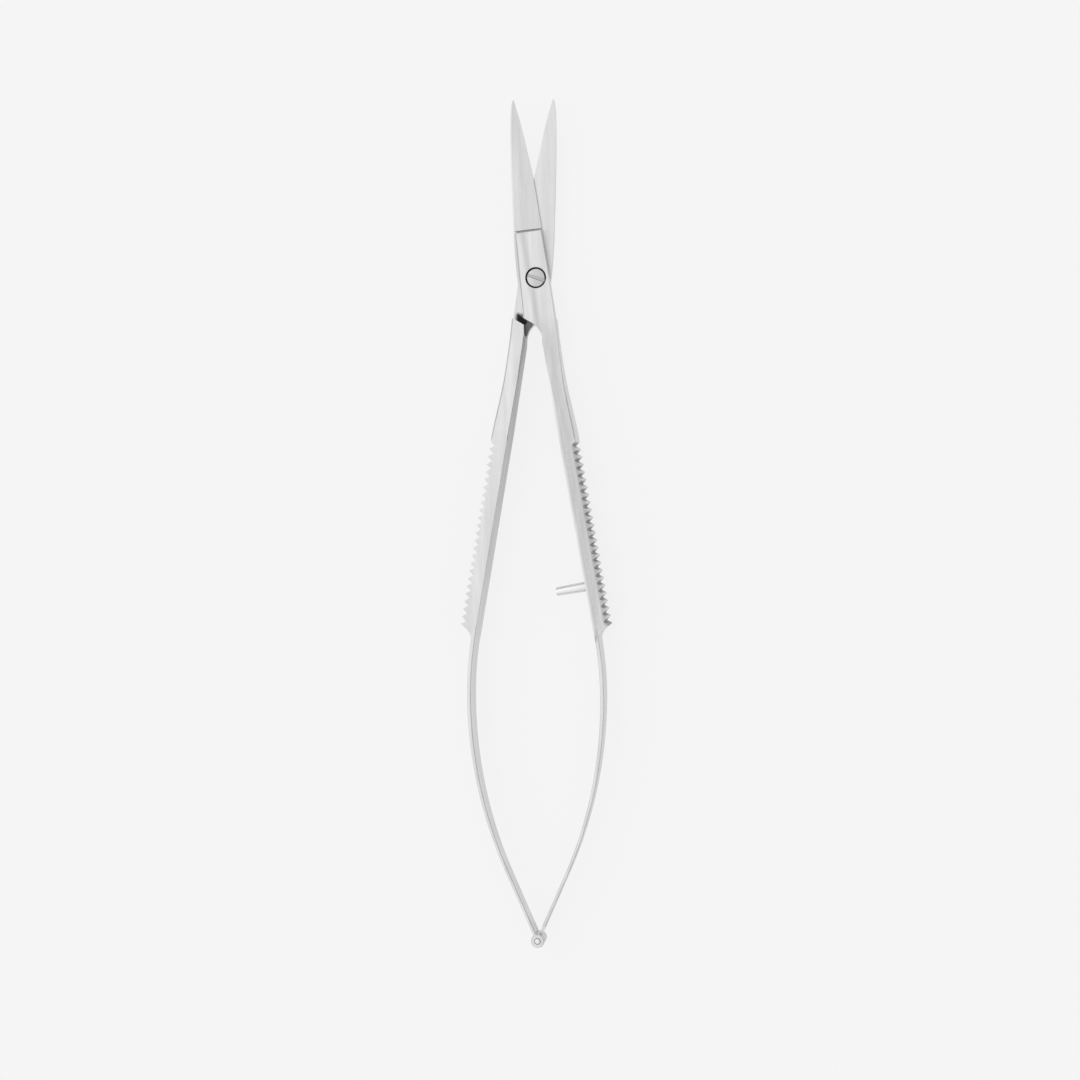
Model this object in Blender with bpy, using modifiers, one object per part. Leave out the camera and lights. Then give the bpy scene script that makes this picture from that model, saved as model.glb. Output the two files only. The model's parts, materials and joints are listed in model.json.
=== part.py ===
"""Squeeze scissors for eyebrows, lying on their side: two sprung arms crossed at one screw.

X is the width, Y runs along the length with the blade tips at +Y, and Z is up, along the pivot.
Each arm is drawn with its blades closed and then turned about the pivot to its open rest pose.
"""
import math

import bmesh
import bpy
from mathutils import Matrix, Vector
from mathutils.geometry import intersect_line_line_2d

MM = 0.001

# Joint of the two arms
HALF_OPENING = math.radians(6.5)
PIVOT_OFFSET = 0.35 * MM
LAP_GAP = 0.06 * MM
BOSS_HALF_WIDTH = 2.28 * MM
BOSS_HALF_DEPTH = 1.25 * MM
BOSS_FOOT_STATION = 5.35 * MM
BOSS_FOOT_SHARE = 0.91
BOSS_FOOT_SLOPE = math.radians(37.0)
BOSS_BEVEL_AT_FOOT = 0.1 * MM
BOSS_BEVEL_AT_LEDGE = 0.35 * MM
CROTCH_RADIUS = 3.0 * MM
SHOULDER_CLEARANCE = 0.25 * MM

# Blades
BLADE_LENGTH = 25.2 * MM
BLADE_TIP_WIDTH = 0.16 * MM
BLADE_TIP_DEPTH = 0.35 * MM
BLADE_ROOT_DEPTH = 0.95 * MM
BLADE_EDGE_DEPTH = 0.3 * MM
LEDGE_STATION = 6.6 * MM
# Along the blade, and out from the middle, as shares of its length and of the boss half width
BLADE_BACK_SHARES = ((0.16, 0.965), (0.31, 0.86), (0.53, 0.68), (0.725, 0.487), (0.92, 0.242))
BLADE_EDGE_SHARES = ((0.865, 0.295), (0.694, 0.513), (0.55, 0.686), (0.347, 0.79), (0.04, 0.95))

# Handles
NECK_STATION = 9.1 * MM
NECK_OFFSET = 0.2 * MM
NECK_WIDTH = 2.2 * MM
NECK_DEPTH_SHARE = 1.12
HANDLE_LEAN = math.radians(3.4)
FLARE_STATION = 21.5 * MM
GRIP_WIDTH = 2.3 * MM
GRIP_HALF_DEPTH = 2.5 * MM
GRIP_START_STATION = 23.7 * MM
GRIP_END_STATION = 50.8 * MM

# Teeth across the outer side of each grip
TOOTH_COUNT = 24
TOOTH_DEPTH = 0.58 * MM
TOOTH_PITCH = 1.11 * MM

# Spring leaves
LEAF_THICKNESS = 0.45 * MM
LEAF_END_THICKNESS = 0.4 * MM
LEAF_BELLY_HALF_DEPTH = 2.1 * MM
LEAF_TAIL_HALF_DEPTH = 1.4 * MM
GRIP_HEEL_SLOPE = math.radians(35.0)
GRIP_HEEL_RADIUS = 0.9 * MM
GRIP_HEEL_FADE = 1.5 * MM
UPPER_BOW_RADIUS = 51.0 * MM
LOWER_BOW_RADIUS = 62.0 * MM
TAIL_ANGLE = math.radians(23.5)
FLEX_GAP = 0.3 * MM

# Tail hinge
KNUCKLE_RADIUS = 0.95 * MM
KNUCKLE_HALF_DEPTH = 0.6 * MM
KNUCKLE_SIDE_GAP = 0.12 * MM
KNUCKLE_NOTCH_RADIUS = 2.3 * MM
TAIL_PIN_RADIUS = 0.4 * MM
TAIL_PIN_FIT = 0.05 * MM
TAIL_PIN_PLAY = 0.15 * MM
TAIL_PIN_DOME = 0.12 * MM
TAIL_PIN_CROWN_SHARE = 0.6

# Pivot screw
SCREW_HEAD_RADIUS = 1.3 * MM
SCREW_HEAD_DEPTH = 0.5 * MM
SCREW_HEAD_SINK = 0.08 * MM
SCREW_HEAD_CHAMFER = 0.08 * MM
SCREW_SHANK_RADIUS = 0.8 * MM
SCREW_FIT = 0.06 * MM
SCREW_SLOT_WIDTH = 0.42 * MM
SCREW_SLOT_DEPTH = 0.26 * MM
SCREW_SLOT_ANGLE = math.radians(-20.0)
COUNTERBORE_RADIUS = 1.45 * MM

# Stop pin
PIN_STATION = 43.8 * MM
PIN_ROOT_RADIUS = 0.7 * MM
PIN_TIP_RADIUS = 0.53 * MM
PIN_TIP_CHAMFER = 0.1 * MM
PIN_SEAT_DEPTH = 1.1 * MM
PIN_FIT = 0.05 * MM
PIN_TIP_CLEARANCE = 0.3 * MM

# Fineness of curves and one overrun for every cutter
CURVE_STEPS = 4
ARC_STEP = math.radians(2.2)
CORNER_STEP = math.radians(10.0)
SHARP_ANGLE = math.radians(30.0)
ROUND_SEGMENTS = 40
CUT_OVERRUN = 1.0 * MM
WELD_DISTANCE = 0.0001 * MM

# Satin stainless steel of the arms, darker for the leaves, brighter for the pins
ARM_COLOUR = (0.70, 0.70, 0.69, 1.0)
LEAF_COLOUR = (0.60, 0.60, 0.60, 1.0)
PIN_COLOUR = (0.78, 0.78, 0.77, 1.0)
SCREW_COLOUR = (0.66, 0.66, 0.66, 1.0)
STEEL_ROUGHNESS = 0.35
PIN_ROUGHNESS = 0.22


def smooth_through(points, steps=CURVE_STEPS):
    """A smooth curve that passes through the given points."""
    chain = [points[0]] + list(points) + [points[-1]]
    curve = []
    for before, start, end, after in zip(chain, chain[1:], chain[2:], chain[3:]):
        for step in range(steps):
            t = step / steps
            pull = (end - before) * t + (2 * before - 5 * start + 4 * end - after) * t ** 2
            pull += (3 * start - before - 3 * end + after) * t ** 3
            curve.append(start + pull / 2)
    return curve + [points[-1]]


def arc(centre, radius, start, end, step=ARC_STEP):
    """Points on an arc about a centre, from one angle to another."""
    count = max(2, math.ceil(abs(end - start) / step))
    angles = [start + (end - start) * index / count for index in range(count + 1)]
    return [centre + radius * Vector((math.cos(angle), math.sin(angle))) for angle in angles]


def opened(points, pivot_x):
    """Turn points of a closed arm about the pivot to the open rest pose."""
    pivot = Vector((pivot_x, 0))
    turn = Matrix.Rotation(HALF_OPENING, 2)
    return [pivot + turn @ (point - pivot) for point in points]


def handle_inner(station):
    """Inner face of the closed handle at a distance below the pivot."""
    return Vector((NECK_OFFSET + (station - NECK_STATION) * math.tan(HANDLE_LEAN), -station))


def grip_outer(station):
    """Line of the tooth peaks of the closed handle at a distance below the pivot."""
    return handle_inner(station) + Vector((GRIP_WIDTH, 0))


# Spring leaf in the open rest pose, worked out from the end of the grip
LEAF_START = opened([handle_inner(GRIP_END_STATION)], 0)[0]
LEAF_START_ANGLE = HALF_OPENING + HANDLE_LEAN
BELLY_INNER_X = LEAF_START.x + UPPER_BOW_RADIUS * (1 - math.cos(LEAF_START_ANGLE))
BELLY_Y = LEAF_START.y - UPPER_BOW_RADIUS * math.sin(LEAF_START_ANGLE)
BELLY_X = BELLY_INNER_X + LEAF_THICKNESS / 2
UPPER_CENTRE = Vector((BELLY_INNER_X - UPPER_BOW_RADIUS, BELLY_Y))
LOWER_CENTRE = Vector((BELLY_X - LOWER_BOW_RADIUS, BELLY_Y))
BOW_END = LOWER_CENTRE + LOWER_BOW_RADIUS * Vector((math.cos(TAIL_ANGLE), -math.sin(TAIL_ANGLE)))
TAIL_Y = BOW_END.y - BOW_END.x / math.tan(TAIL_ANGLE)

# Place of the whole part: its box is centred on the origin and its grips rest at height zero
TIP_Y = BLADE_LENGTH * math.cos(HALF_OPENING)
MIDDLE_Y = (TIP_Y + TAIL_Y - KNUCKLE_RADIUS) / 2
PLACE = Vector((0, -MIDDLE_Y, GRIP_HALF_DEPTH))
PIVOT = Vector((PIVOT_OFFSET, 0, 0))
SCREW_TOP = BOSS_HALF_DEPTH - SCREW_HEAD_SINK
TURN_OVER = Matrix.Rotation(math.pi, 4, "Y")
SIDE_VIEW = Matrix(((0, 0, 1, 0), (1, 0, 0, 0), (0, 1, 0, 0), (0, 0, 0, 1)))


def collection(name):
    """A new collection in the scene."""
    made = bpy.data.collections.new(name)
    bpy.context.scene.collection.children.link(made)
    return made


def material(name, colour, roughness):
    """A plain metal with the photographed colour."""
    made = bpy.data.materials.new(name)
    made.use_nodes = True
    shader = made.node_tree.nodes["Principled BSDF"]
    shader.inputs["Base Color"].default_value = colour
    shader.inputs["Metallic"].default_value = 1.0
    shader.inputs["Roughness"].default_value = roughness
    made.diffuse_color = colour
    return made


def outline_solid(name, points, half_depth, group, matrix=Matrix.Identity(4)):
    """A flat outline given a depth to both sides, as a closed mesh."""
    curve = bpy.data.curves.new(name + "_outline", "CURVE")
    curve.dimensions = "2D"
    curve.fill_mode = "BOTH"
    curve.extrude = half_depth
    curve.resolution_u = 1
    spline = curve.splines.new("POLY")
    spline.points.add(len(points) - 1)
    for spot, point in zip(spline.points, points):
        spot.co = (point[0], point[1], 0, 1)
    spline.use_cyclic_u = True
    drawn = bpy.data.objects.new(name + "_outline", curve)
    bpy.context.scene.collection.objects.link(drawn)
    graph = bpy.context.evaluated_depsgraph_get()
    mesh = bpy.data.meshes.new_from_object(drawn.evaluated_get(graph))
    bpy.data.objects.remove(drawn)
    shape = bmesh.new()
    shape.from_mesh(mesh)
    bmesh.ops.remove_doubles(shape, verts=shape.verts, dist=WELD_DISTANCE)
    bmesh.ops.recalc_face_normals(shape, faces=shape.faces)
    bmesh.ops.transform(shape, matrix=matrix, verts=shape.verts)
    shape.to_mesh(mesh)
    shape.free()
    mesh.name = name
    made = bpy.data.objects.new(name, mesh)
    group.objects.link(made)
    return made


def turned_solid(name, profile, group, matrix=Matrix.Identity(4)):
    """A turned shape: a profile of radius and height, from its top to its bottom."""
    mesh = bpy.data.meshes.new(name)
    edges = [(index, index + 1) for index in range(len(profile) - 1)]
    mesh.from_pydata([(radius, 0, height) for radius, height in profile], edges, [])
    made = bpy.data.objects.new(name, mesh)
    group.objects.link(made)
    screw = made.modifiers.new("turn", "SCREW")
    screw.axis = "Z"
    screw.steps = ROUND_SEGMENTS
    screw.render_steps = ROUND_SEGMENTS
    screw.use_merge_vertices = True
    screw.merge_threshold = WELD_DISTANCE
    screw.use_smooth_shade = True
    graph = bpy.context.evaluated_depsgraph_get()
    solid = bpy.data.meshes.new_from_object(made.evaluated_get(graph))
    made.modifiers.clear()
    made.data = solid
    bpy.data.meshes.remove(mesh)
    solid.name = name
    solid.transform(matrix)
    return made


def cut(target, cutter, operation="DIFFERENCE"):
    """Cut, join or intersect a solid with another one, exactly."""
    boolean = target.modifiers.new(cutter.name, "BOOLEAN")
    boolean.operation = operation
    boolean.solver = "EXACT"
    boolean.object = cutter
    cutter.hide_render = True
    cutter.display_type = "WIRE"


def settle(target):
    """Apply the cuts of a solid and remove the cutters that made them."""
    graph = bpy.context.evaluated_depsgraph_get()
    solid = bpy.data.meshes.new_from_object(target.evaluated_get(graph))
    for modifier in list(target.modifiers):
        cutter = modifier.object
        target.modifiers.remove(modifier)
        bpy.data.objects.remove(cutter)
    target.data = solid
    solid.name = target.name
    solid.shade_smooth()
    solid.set_sharp_from_angle(angle=SHARP_ANGLE)


def finish(target, origin, steel):
    """Put the whole part in place, with the object's origin on its own axis."""
    target.data.transform(Matrix.Translation(-origin))
    target.matrix_world = Matrix.Translation(origin + PLACE)
    target.data.materials.append(steel)


def rounded_corner(before, corner, after, radius):
    """A corner between two straight sides, replaced by an arc of the given radius."""
    first = (before - corner).normalized()
    second = (after - corner).normalized()
    half = first.angle(second) / 2
    middle = corner + (first + second).normalized() * radius / math.sin(half)
    start = corner + first * radius / math.tan(half) - middle
    end = corner + second * radius / math.tan(half) - middle
    begin = math.atan2(start.y, start.x)
    sweep = math.remainder(math.atan2(end.y, end.x) - begin, math.tau)
    return arc(middle, radius, begin, begin + sweep, CORNER_STEP)


def boss_foot():
    """Slanted lower edge of a closed boss and its round into the handle, from the left edge."""
    foot = Vector((-BOSS_HALF_WIDTH * BOSS_FOOT_SHARE, -BOSS_FOOT_STATION))
    reach = handle_inner(NECK_STATION).x - foot.x
    corner = foot + Vector((reach, -reach * math.tan(BOSS_FOOT_SLOPE)))
    return [foot] + rounded_corner(foot, corner, handle_inner(FLARE_STATION), CROTCH_RADIUS)


def blade_and_boss_back():
    """Left side of a closed arm, from the foot of its boss up to the blade tip."""
    side = [Vector((-BOSS_HALF_WIDTH, 0))]
    for along, out in BLADE_BACK_SHARES:
        side.append(Vector((-out * BOSS_HALF_WIDTH, along * BLADE_LENGTH)))
    side.append(Vector((-BLADE_TIP_WIDTH / 2, BLADE_LENGTH - BLADE_TIP_WIDTH / 2)))
    return smooth_through(side)


def blade_edge_and_neck():
    """Right side of a closed arm, from the blade tip down its cutting edge to the grip."""
    side = [Vector((BLADE_TIP_WIDTH / 2, BLADE_LENGTH))]
    for along, out in BLADE_EDGE_SHARES:
        side.append(Vector((out * BOSS_HALF_WIDTH, along * BLADE_LENGTH)))
    side.append(Vector((handle_inner(NECK_STATION).x + NECK_WIDTH, -BOSS_FOOT_STATION)))
    side.append(handle_inner(NECK_STATION) + Vector((NECK_WIDTH, 0)))
    side.append(grip_outer(FLARE_STATION))
    return smooth_through(side)


def teeth():
    """Zigzag of V grooves down the outer side of a closed grip."""
    start = grip_outer(GRIP_START_STATION)
    along = (grip_outer(GRIP_END_STATION) - start).normalized()
    inward = Vector((along.y, -along.x))
    points = []
    for tooth in range(TOOTH_COUNT):
        peak = start + along * TOOTH_PITCH * tooth
        points += [peak, peak + along * TOOTH_PITCH / 2 + inward * TOOTH_DEPTH]
    return points + [start + along * TOOTH_PITCH * TOOTH_COUNT]


def arm_outline(pivot_x):
    """Plan of an open arm: blade, boss, handle with its teeth, and leaf as far as its belly."""
    blade = boss_foot()[:1] + blade_and_boss_back() + blade_edge_and_neck()
    toothed = opened(blade + teeth(), pivot_x)
    flex = FLEX_GAP / 2 / UPPER_BOW_RADIUS
    outer = arc(UPPER_CENTRE, UPPER_BOW_RADIUS + LEAF_THICKNESS, LEAF_START_ANGLE, flex)
    inner = arc(UPPER_CENTRE, UPPER_BOW_RADIUS, flex, LEAF_START_ANGLE)
    last_peak = toothed[-1]
    drop = Vector((-math.cos(GRIP_HEEL_SLOPE), -math.sin(GRIP_HEEL_SLOPE)))
    heel = meeting_point(last_peak, drop, outer)
    kept = [point for point in outer if point.y < heel.y]
    heel_round = rounded_corner(last_peak, heel, kept[1], GRIP_HEEL_RADIUS)
    kept = [point for point in outer if point.y < heel_round[-1].y]
    foot = opened(boss_foot()[:0:-1], pivot_x)
    return toothed + heel_round + kept + inner + foot


def meeting_point(start, direction, line):
    """Where a ray first crosses a chain of points."""
    far = start + direction * GRIP_END_STATION
    for first, second in zip(line, line[1:]):
        crossing = intersect_line_line_2d(start, far, first, second)
        if crossing:
            return crossing
    return line[-1]


def depth_profile():
    """Half depth of an arm and its leaf along the length, as places and half depths."""
    grip_end = LEAF_START.y
    flare = [
        Vector((-BOSS_FOOT_STATION, BOSS_HALF_DEPTH)),
        Vector((-NECK_STATION, BOSS_HALF_DEPTH * NECK_DEPTH_SHARE)),
        Vector((-FLARE_STATION, GRIP_HALF_DEPTH)),
    ]
    heel = [
        Vector((grip_end + GRIP_HEEL_FADE, GRIP_HALF_DEPTH)),
        Vector((grip_end - GRIP_HEEL_FADE, LEAF_BELLY_HALF_DEPTH)),
    ]
    tail = [
        Vector((BELLY_Y, LEAF_BELLY_HALF_DEPTH)),
        Vector(((BELLY_Y + BOW_END.y) / 2, (LEAF_BELLY_HALF_DEPTH + LEAF_TAIL_HALF_DEPTH) / 2)),
        Vector((BOW_END.y, LEAF_TAIL_HALF_DEPTH)),
        Vector((TAIL_Y - CUT_OVERRUN, LEAF_TAIL_HALF_DEPTH)),
    ]
    top = [Vector((TIP_Y + CUT_OVERRUN, BOSS_HALF_DEPTH))]
    return top + smooth_through(flare) + smooth_through(heel) + smooth_through(tail)


def depth_cutter(group):
    """Solid as wide as the part, whose side view is the depth of an arm and its leaf."""
    profile = depth_profile()
    points = profile + [Vector((point.x, -point.y)) for point in reversed(profile)]
    return outline_solid("depth_profile", points, BELLY_X + GRIP_WIDTH, group, SIDE_VIEW)


def lap_cutter(pivot_x, group):
    """Room for the other arm's boss and blade, in the lower half of a front arm."""
    mate = [Vector((-point.x, point.y)) for point in boss_foot()]
    slope = Vector((math.sin(BOSS_FOOT_SLOPE), -math.cos(BOSS_FOOT_SLOPE)))
    shoulder = [point + slope * SHOULDER_CLEARANCE for point in mate]
    along = (shoulder[0] - shoulder[1]).normalized()
    side = BOSS_HALF_WIDTH * 2
    top = BLADE_LENGTH + CUT_OVERRUN
    start = shoulder[0] + along * BOSS_HALF_WIDTH
    points = [start] + shoulder + [Vector((-side, shoulder[-1].y)), Vector((-side, top))]
    points.append(Vector((start.x, top)))
    depth = BOSS_HALF_DEPTH + CUT_OVERRUN
    place = Matrix.Translation((0, 0, LAP_GAP / 2 - depth))
    return outline_solid("lap", opened(points, pivot_x), depth, group, place)


def grind_cutter(pivot_x, group):
    """Box above the ground face of a blade, which starts at the ledge and thins to the tip."""
    root_back = Vector((-BOSS_HALF_WIDTH, LEDGE_STATION, BLADE_ROOT_DEPTH))
    root_edge = Vector((BOSS_HALF_WIDTH, LEDGE_STATION, BLADE_EDGE_DEPTH))
    tip = Vector((0, BLADE_LENGTH, BLADE_TIP_DEPTH))
    across = (root_edge - root_back).normalized()
    up = across.cross(tip - root_back).normalized()
    along = up.cross(across)
    middle = (root_back + root_edge) / 2
    size = Vector((BOSS_HALF_WIDTH * 2 + CUT_OVERRUN, BLADE_LENGTH, GRIP_HALF_DEPTH))
    axes = Matrix((across, along, up)).transposed().to_4x4()
    offset = Matrix.Translation(Vector((0, size.y / 2, size.z / 2)))
    stretch = Matrix.Diagonal((size.x, size.y, size.z, 1))
    place = Matrix.Translation(middle) @ axes @ offset @ stretch
    return box("grind", opening_turn(pivot_x) @ place, group)


def bevel_cutter(pivot_x, group):
    """Box outside the bevel along the left edge of a closed boss, from its foot to its ledge."""
    left = -BOSS_HALF_WIDTH * BOSS_FOOT_SHARE
    foot = Vector((left + BOSS_BEVEL_AT_FOOT, -BOSS_FOOT_STATION, BOSS_HALF_DEPTH))
    ledge = Vector((left + BOSS_BEVEL_AT_LEDGE, LEDGE_STATION, BOSS_HALF_DEPTH))
    along = (ledge - foot).normalized()
    up = along.cross(Vector((-1, 0, -1))).normalized()
    axes = Matrix((along.cross(up), along, up)).transposed().to_4x4()
    side = BOSS_HALF_DEPTH
    offset = Matrix.Translation((0, 0, side / 2))
    stretch = Matrix.Diagonal((side, (ledge - foot).length + side, side, 1))
    place = Matrix.Translation((foot + ledge) / 2) @ axes @ offset @ stretch
    return box("bevel", opening_turn(pivot_x) @ place, group)


def opening_turn(pivot_x):
    """Matrix that turns a solid of a closed arm about the pivot to the open rest pose."""
    pivot = Matrix.Translation((pivot_x, 0, 0))
    return pivot @ Matrix.Rotation(HALF_OPENING, 4, "Z") @ pivot.inverted()


def box(name, matrix, group):
    """A unit cube that a matrix stretches and places."""
    shape = bmesh.new()
    bmesh.ops.create_cube(shape, size=1.0, matrix=matrix)
    mesh = bpy.data.meshes.new(name)
    shape.to_mesh(mesh)
    shape.free()
    made = bpy.data.objects.new(name, mesh)
    group.objects.link(made)
    return made


def cylinder(name, radius, low, high, centre, group):
    """An upright cylinder between two heights."""
    profile = [(0, high), (radius, high), (radius, low), (0, low)]
    return turned_solid(name, profile, group, Matrix.Translation(centre))


def bare_arm(name, pivot_x, parts, cutters):
    """An arm as a front arm, before its holes: outline, depth, lap, bevel and ground blade."""
    deep = GRIP_HALF_DEPTH + CUT_OVERRUN
    arm = outline_solid(name, arm_outline(pivot_x), deep, parts)
    cut(arm, depth_cutter(cutters), "INTERSECT")
    cut(arm, lap_cutter(pivot_x, cutters))
    cut(arm, bevel_cutter(pivot_x, cutters))
    cut(arm, grind_cutter(pivot_x, cutters))
    settle(arm)
    return arm


def front_arm(parts, cutters, steel):
    """Arm with the left blade and right handle, bored for the screw and the stop pin."""
    arm = bare_arm("front_arm", PIVOT_OFFSET, parts, cutters)
    top = BOSS_HALF_DEPTH + CUT_OVERRUN
    seat = SCREW_TOP - SCREW_HEAD_DEPTH - SCREW_FIT
    cut(arm, cylinder("shank_hole", SCREW_SHANK_RADIUS + SCREW_FIT, -top, top, PIVOT, cutters))
    cut(arm, cylinder("counterbore", COUNTERBORE_RADIUS, seat, top, PIVOT, cutters))
    bore = [
        (0, CUT_OVERRUN),
        (PIN_ROOT_RADIUS + PIN_FIT, CUT_OVERRUN),
        (PIN_ROOT_RADIUS + PIN_FIT, -PIN_SEAT_DEPTH - PIN_FIT),
        (0, -PIN_SEAT_DEPTH - PIN_FIT),
    ]
    cut(arm, turned_solid("pin_bore", bore, cutters, pin_axis()))
    settle(arm)
    finish(arm, PIVOT, steel)
    return arm


def back_arm(parts, cutters, steel):
    """Arm with the right blade and left handle, bored for the threaded end of the screw."""
    arm = bare_arm("back_arm", -PIVOT_OFFSET, parts, cutters)
    arm.data.transform(TURN_OVER)
    deep = BOSS_HALF_DEPTH + CUT_OVERRUN
    cut(arm, cylinder("thread_hole", SCREW_SHANK_RADIUS + SCREW_FIT, -deep, deep, PIVOT, cutters))
    settle(arm)
    finish(arm, PIVOT, steel)
    return arm


def leaf_outline():
    """Plan of the lower leaf, from the belly gap to the barrel of the tail hinge."""
    flex = FLEX_GAP / 2 / LOWER_BOW_RADIUS
    middle = arc(LOWER_CENTRE, LOWER_BOW_RADIUS, -flex, -TAIL_ANGLE)
    headings = [LOWER_CENTRE + (point - LOWER_CENTRE) * 2 for point in middle]
    normals = [(head - point).normalized() for head, point in zip(headings, middle)]
    tail = Vector((0, TAIL_Y))
    stop = tail + (BOW_END - tail).normalized() * (KNUCKLE_RADIUS + TAIL_PIN_RADIUS) / 2
    middle.append(stop)
    normals.append(normals[-1])
    outer = []
    inner = []
    for index, (point, normal) in enumerate(zip(middle, normals)):
        share = index / (len(middle) - 1)
        half = (LEAF_THICKNESS + (LEAF_END_THICKNESS - LEAF_THICKNESS) * share) / 2
        outer.append(point + normal * half)
        inner.append(point - normal * half)
    return outer + inner[::-1]


def leaf(name, barrels, notches, play, parts, cutters):
    """A lower leaf with its knuckles round the tail pin, given as ranges of height."""
    tail = Vector((0, TAIL_Y, 0))
    made = outline_solid(name, leaf_outline(), GRIP_HALF_DEPTH, parts)
    cut(made, depth_cutter(cutters), "INTERSECT")
    for index, (low, high) in enumerate(notches):
        cutter = cylinder(f"notch_{index}", KNUCKLE_NOTCH_RADIUS, low, high, tail, cutters)
        cut(made, cutter)
    for index, (low, high) in enumerate(barrels):
        barrel = cylinder(f"barrel_{index}", KNUCKLE_RADIUS, low, high, tail, cutters)
        cut(made, barrel, "UNION")
    deep = LEAF_TAIL_HALF_DEPTH + CUT_OVERRUN
    cut(made, cylinder("pin_hole", TAIL_PIN_RADIUS + play, -deep, deep, tail, cutters))
    settle(made)
    return made


def front_leaf(parts, cutters, steel):
    """Lower leaf of the front arm, with one knuckle in the middle of its depth."""
    deep = LEAF_TAIL_HALF_DEPTH + CUT_OVERRUN
    barrels = [(-KNUCKLE_HALF_DEPTH, KNUCKLE_HALF_DEPTH)]
    notches = [(KNUCKLE_HALF_DEPTH, deep), (-deep, -KNUCKLE_HALF_DEPTH)]
    made = leaf("front_leaf", barrels, notches, TAIL_PIN_PLAY, parts, cutters)
    finish(made, Vector((BELLY_X, BELLY_Y, 0)), steel)
    return made


def back_leaf(parts, cutters, steel):
    """Lower leaf of the back arm, with a knuckle on each side of the front leaf's."""
    inside = KNUCKLE_HALF_DEPTH + KNUCKLE_SIDE_GAP
    barrels = [(inside, LEAF_TAIL_HALF_DEPTH), (-LEAF_TAIL_HALF_DEPTH, -inside)]
    made = leaf("back_leaf", barrels, [(-inside, inside)], TAIL_PIN_FIT, parts, cutters)
    made.data.transform(TURN_OVER)
    finish(made, Vector((-BELLY_X, BELLY_Y, 0)), steel)
    return made


def pivot_screw(parts, cutters, steel):
    """Slotted screw with a low head, its end flush with the underside of the back boss."""
    seat = SCREW_TOP - SCREW_HEAD_DEPTH
    end = SCREW_FIT - BOSS_HALF_DEPTH
    profile = [
        (0, SCREW_TOP),
        (SCREW_HEAD_RADIUS - SCREW_HEAD_CHAMFER, SCREW_TOP),
        (SCREW_HEAD_RADIUS, SCREW_TOP - SCREW_HEAD_CHAMFER),
        (SCREW_HEAD_RADIUS, seat),
        (SCREW_SHANK_RADIUS, seat),
        (SCREW_SHANK_RADIUS, end + SCREW_HEAD_CHAMFER),
        (SCREW_SHANK_RADIUS - SCREW_HEAD_CHAMFER, end),
        (0, end),
    ]
    made = turned_solid("pivot_screw", profile, parts, Matrix.Translation(PIVOT))
    size = (SCREW_HEAD_RADIUS * 2 + CUT_OVERRUN, SCREW_SLOT_WIDTH, SCREW_SLOT_DEPTH * 2, 1)
    place = Matrix.Translation(PIVOT + Vector((0, 0, SCREW_TOP)))
    turn = Matrix.Rotation(SCREW_SLOT_ANGLE, 4, "Z")
    cut(made, box("slot", place @ turn @ Matrix.Diagonal(size), cutters))
    settle(made)
    finish(made, PIVOT, steel)
    return made


def pin_axis():
    """Matrix whose Z runs out of the inner face of the front grip, along the stop pin."""
    root = opened([handle_inner(PIN_STATION)], PIVOT_OFFSET)[0].to_3d()
    lean = HALF_OPENING + HANDLE_LEAN
    out = Vector((-math.cos(lean), -math.sin(lean), 0))
    return Matrix.Translation(root) @ out.to_track_quat("Z", "Y").to_matrix().to_4x4()


def stop_pin(parts, steel):
    """Tapered pin pressed into the front grip, which meets the other grip on closing."""
    reach = handle_inner(PIN_STATION).x * 2 * math.cos(HANDLE_LEAN) / math.cos(2 * HANDLE_LEAN)
    length = reach - PIN_TIP_CLEARANCE
    profile = [
        (0, length),
        (PIN_TIP_RADIUS - PIN_TIP_CHAMFER, length),
        (PIN_TIP_RADIUS, length - PIN_TIP_CHAMFER),
        (PIN_ROOT_RADIUS, 0),
        (PIN_ROOT_RADIUS, -PIN_SEAT_DEPTH),
        (0, -PIN_SEAT_DEPTH),
    ]
    made = turned_solid("stop_pin", profile, parts, pin_axis())
    finish(made, PIVOT, steel)
    return made


def tail_pin(parts, steel):
    """Pin of the tail hinge, with low domed ends just proud of the knuckles."""
    top = LEAF_TAIL_HALF_DEPTH + TAIL_PIN_DOME
    crown = TAIL_PIN_RADIUS * TAIL_PIN_CROWN_SHARE
    profile = [
        (0, top),
        (crown, top),
        (TAIL_PIN_RADIUS, LEAF_TAIL_HALF_DEPTH),
        (TAIL_PIN_RADIUS, -LEAF_TAIL_HALF_DEPTH),
        (crown, -top),
        (0, -top),
    ]
    tail = Vector((0, TAIL_Y, 0))
    made = turned_solid("tail_pin", profile, parts, Matrix.Translation(tail))
    finish(made, tail, steel)
    return made


def carry(carrier, rider):
    """Let one object carry another without moving it."""
    rider.parent = carrier
    rider.matrix_parent_inverse = carrier.matrix_world.inverted()


def main():
    for old in list(bpy.data.objects):
        bpy.data.objects.remove(old, do_unlink=True)
    parts = collection("eyebrow_scissors")
    cutters = collection("cutters")
    arm_steel = material("satin_steel", ARM_COLOUR, STEEL_ROUGHNESS)
    leaf_steel = material("spring_steel", LEAF_COLOUR, STEEL_ROUGHNESS)
    pin_steel = material("pin_steel", PIN_COLOUR, PIN_ROUGHNESS)
    screw_steel = material("screw_steel", SCREW_COLOUR, STEEL_ROUGHNESS)
    back = back_arm(parts, cutters, arm_steel)
    front = front_arm(parts, cutters, arm_steel)
    lower_front = front_leaf(parts, cutters, leaf_steel)
    lower_back = back_leaf(parts, cutters, leaf_steel)
    carry(back, front)
    carry(back, pivot_screw(parts, cutters, screw_steel))
    carry(front, stop_pin(parts, pin_steel))
    carry(front, lower_front)
    carry(back, lower_back)
    carry(lower_back, tail_pin(parts, pin_steel))


main()
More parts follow.
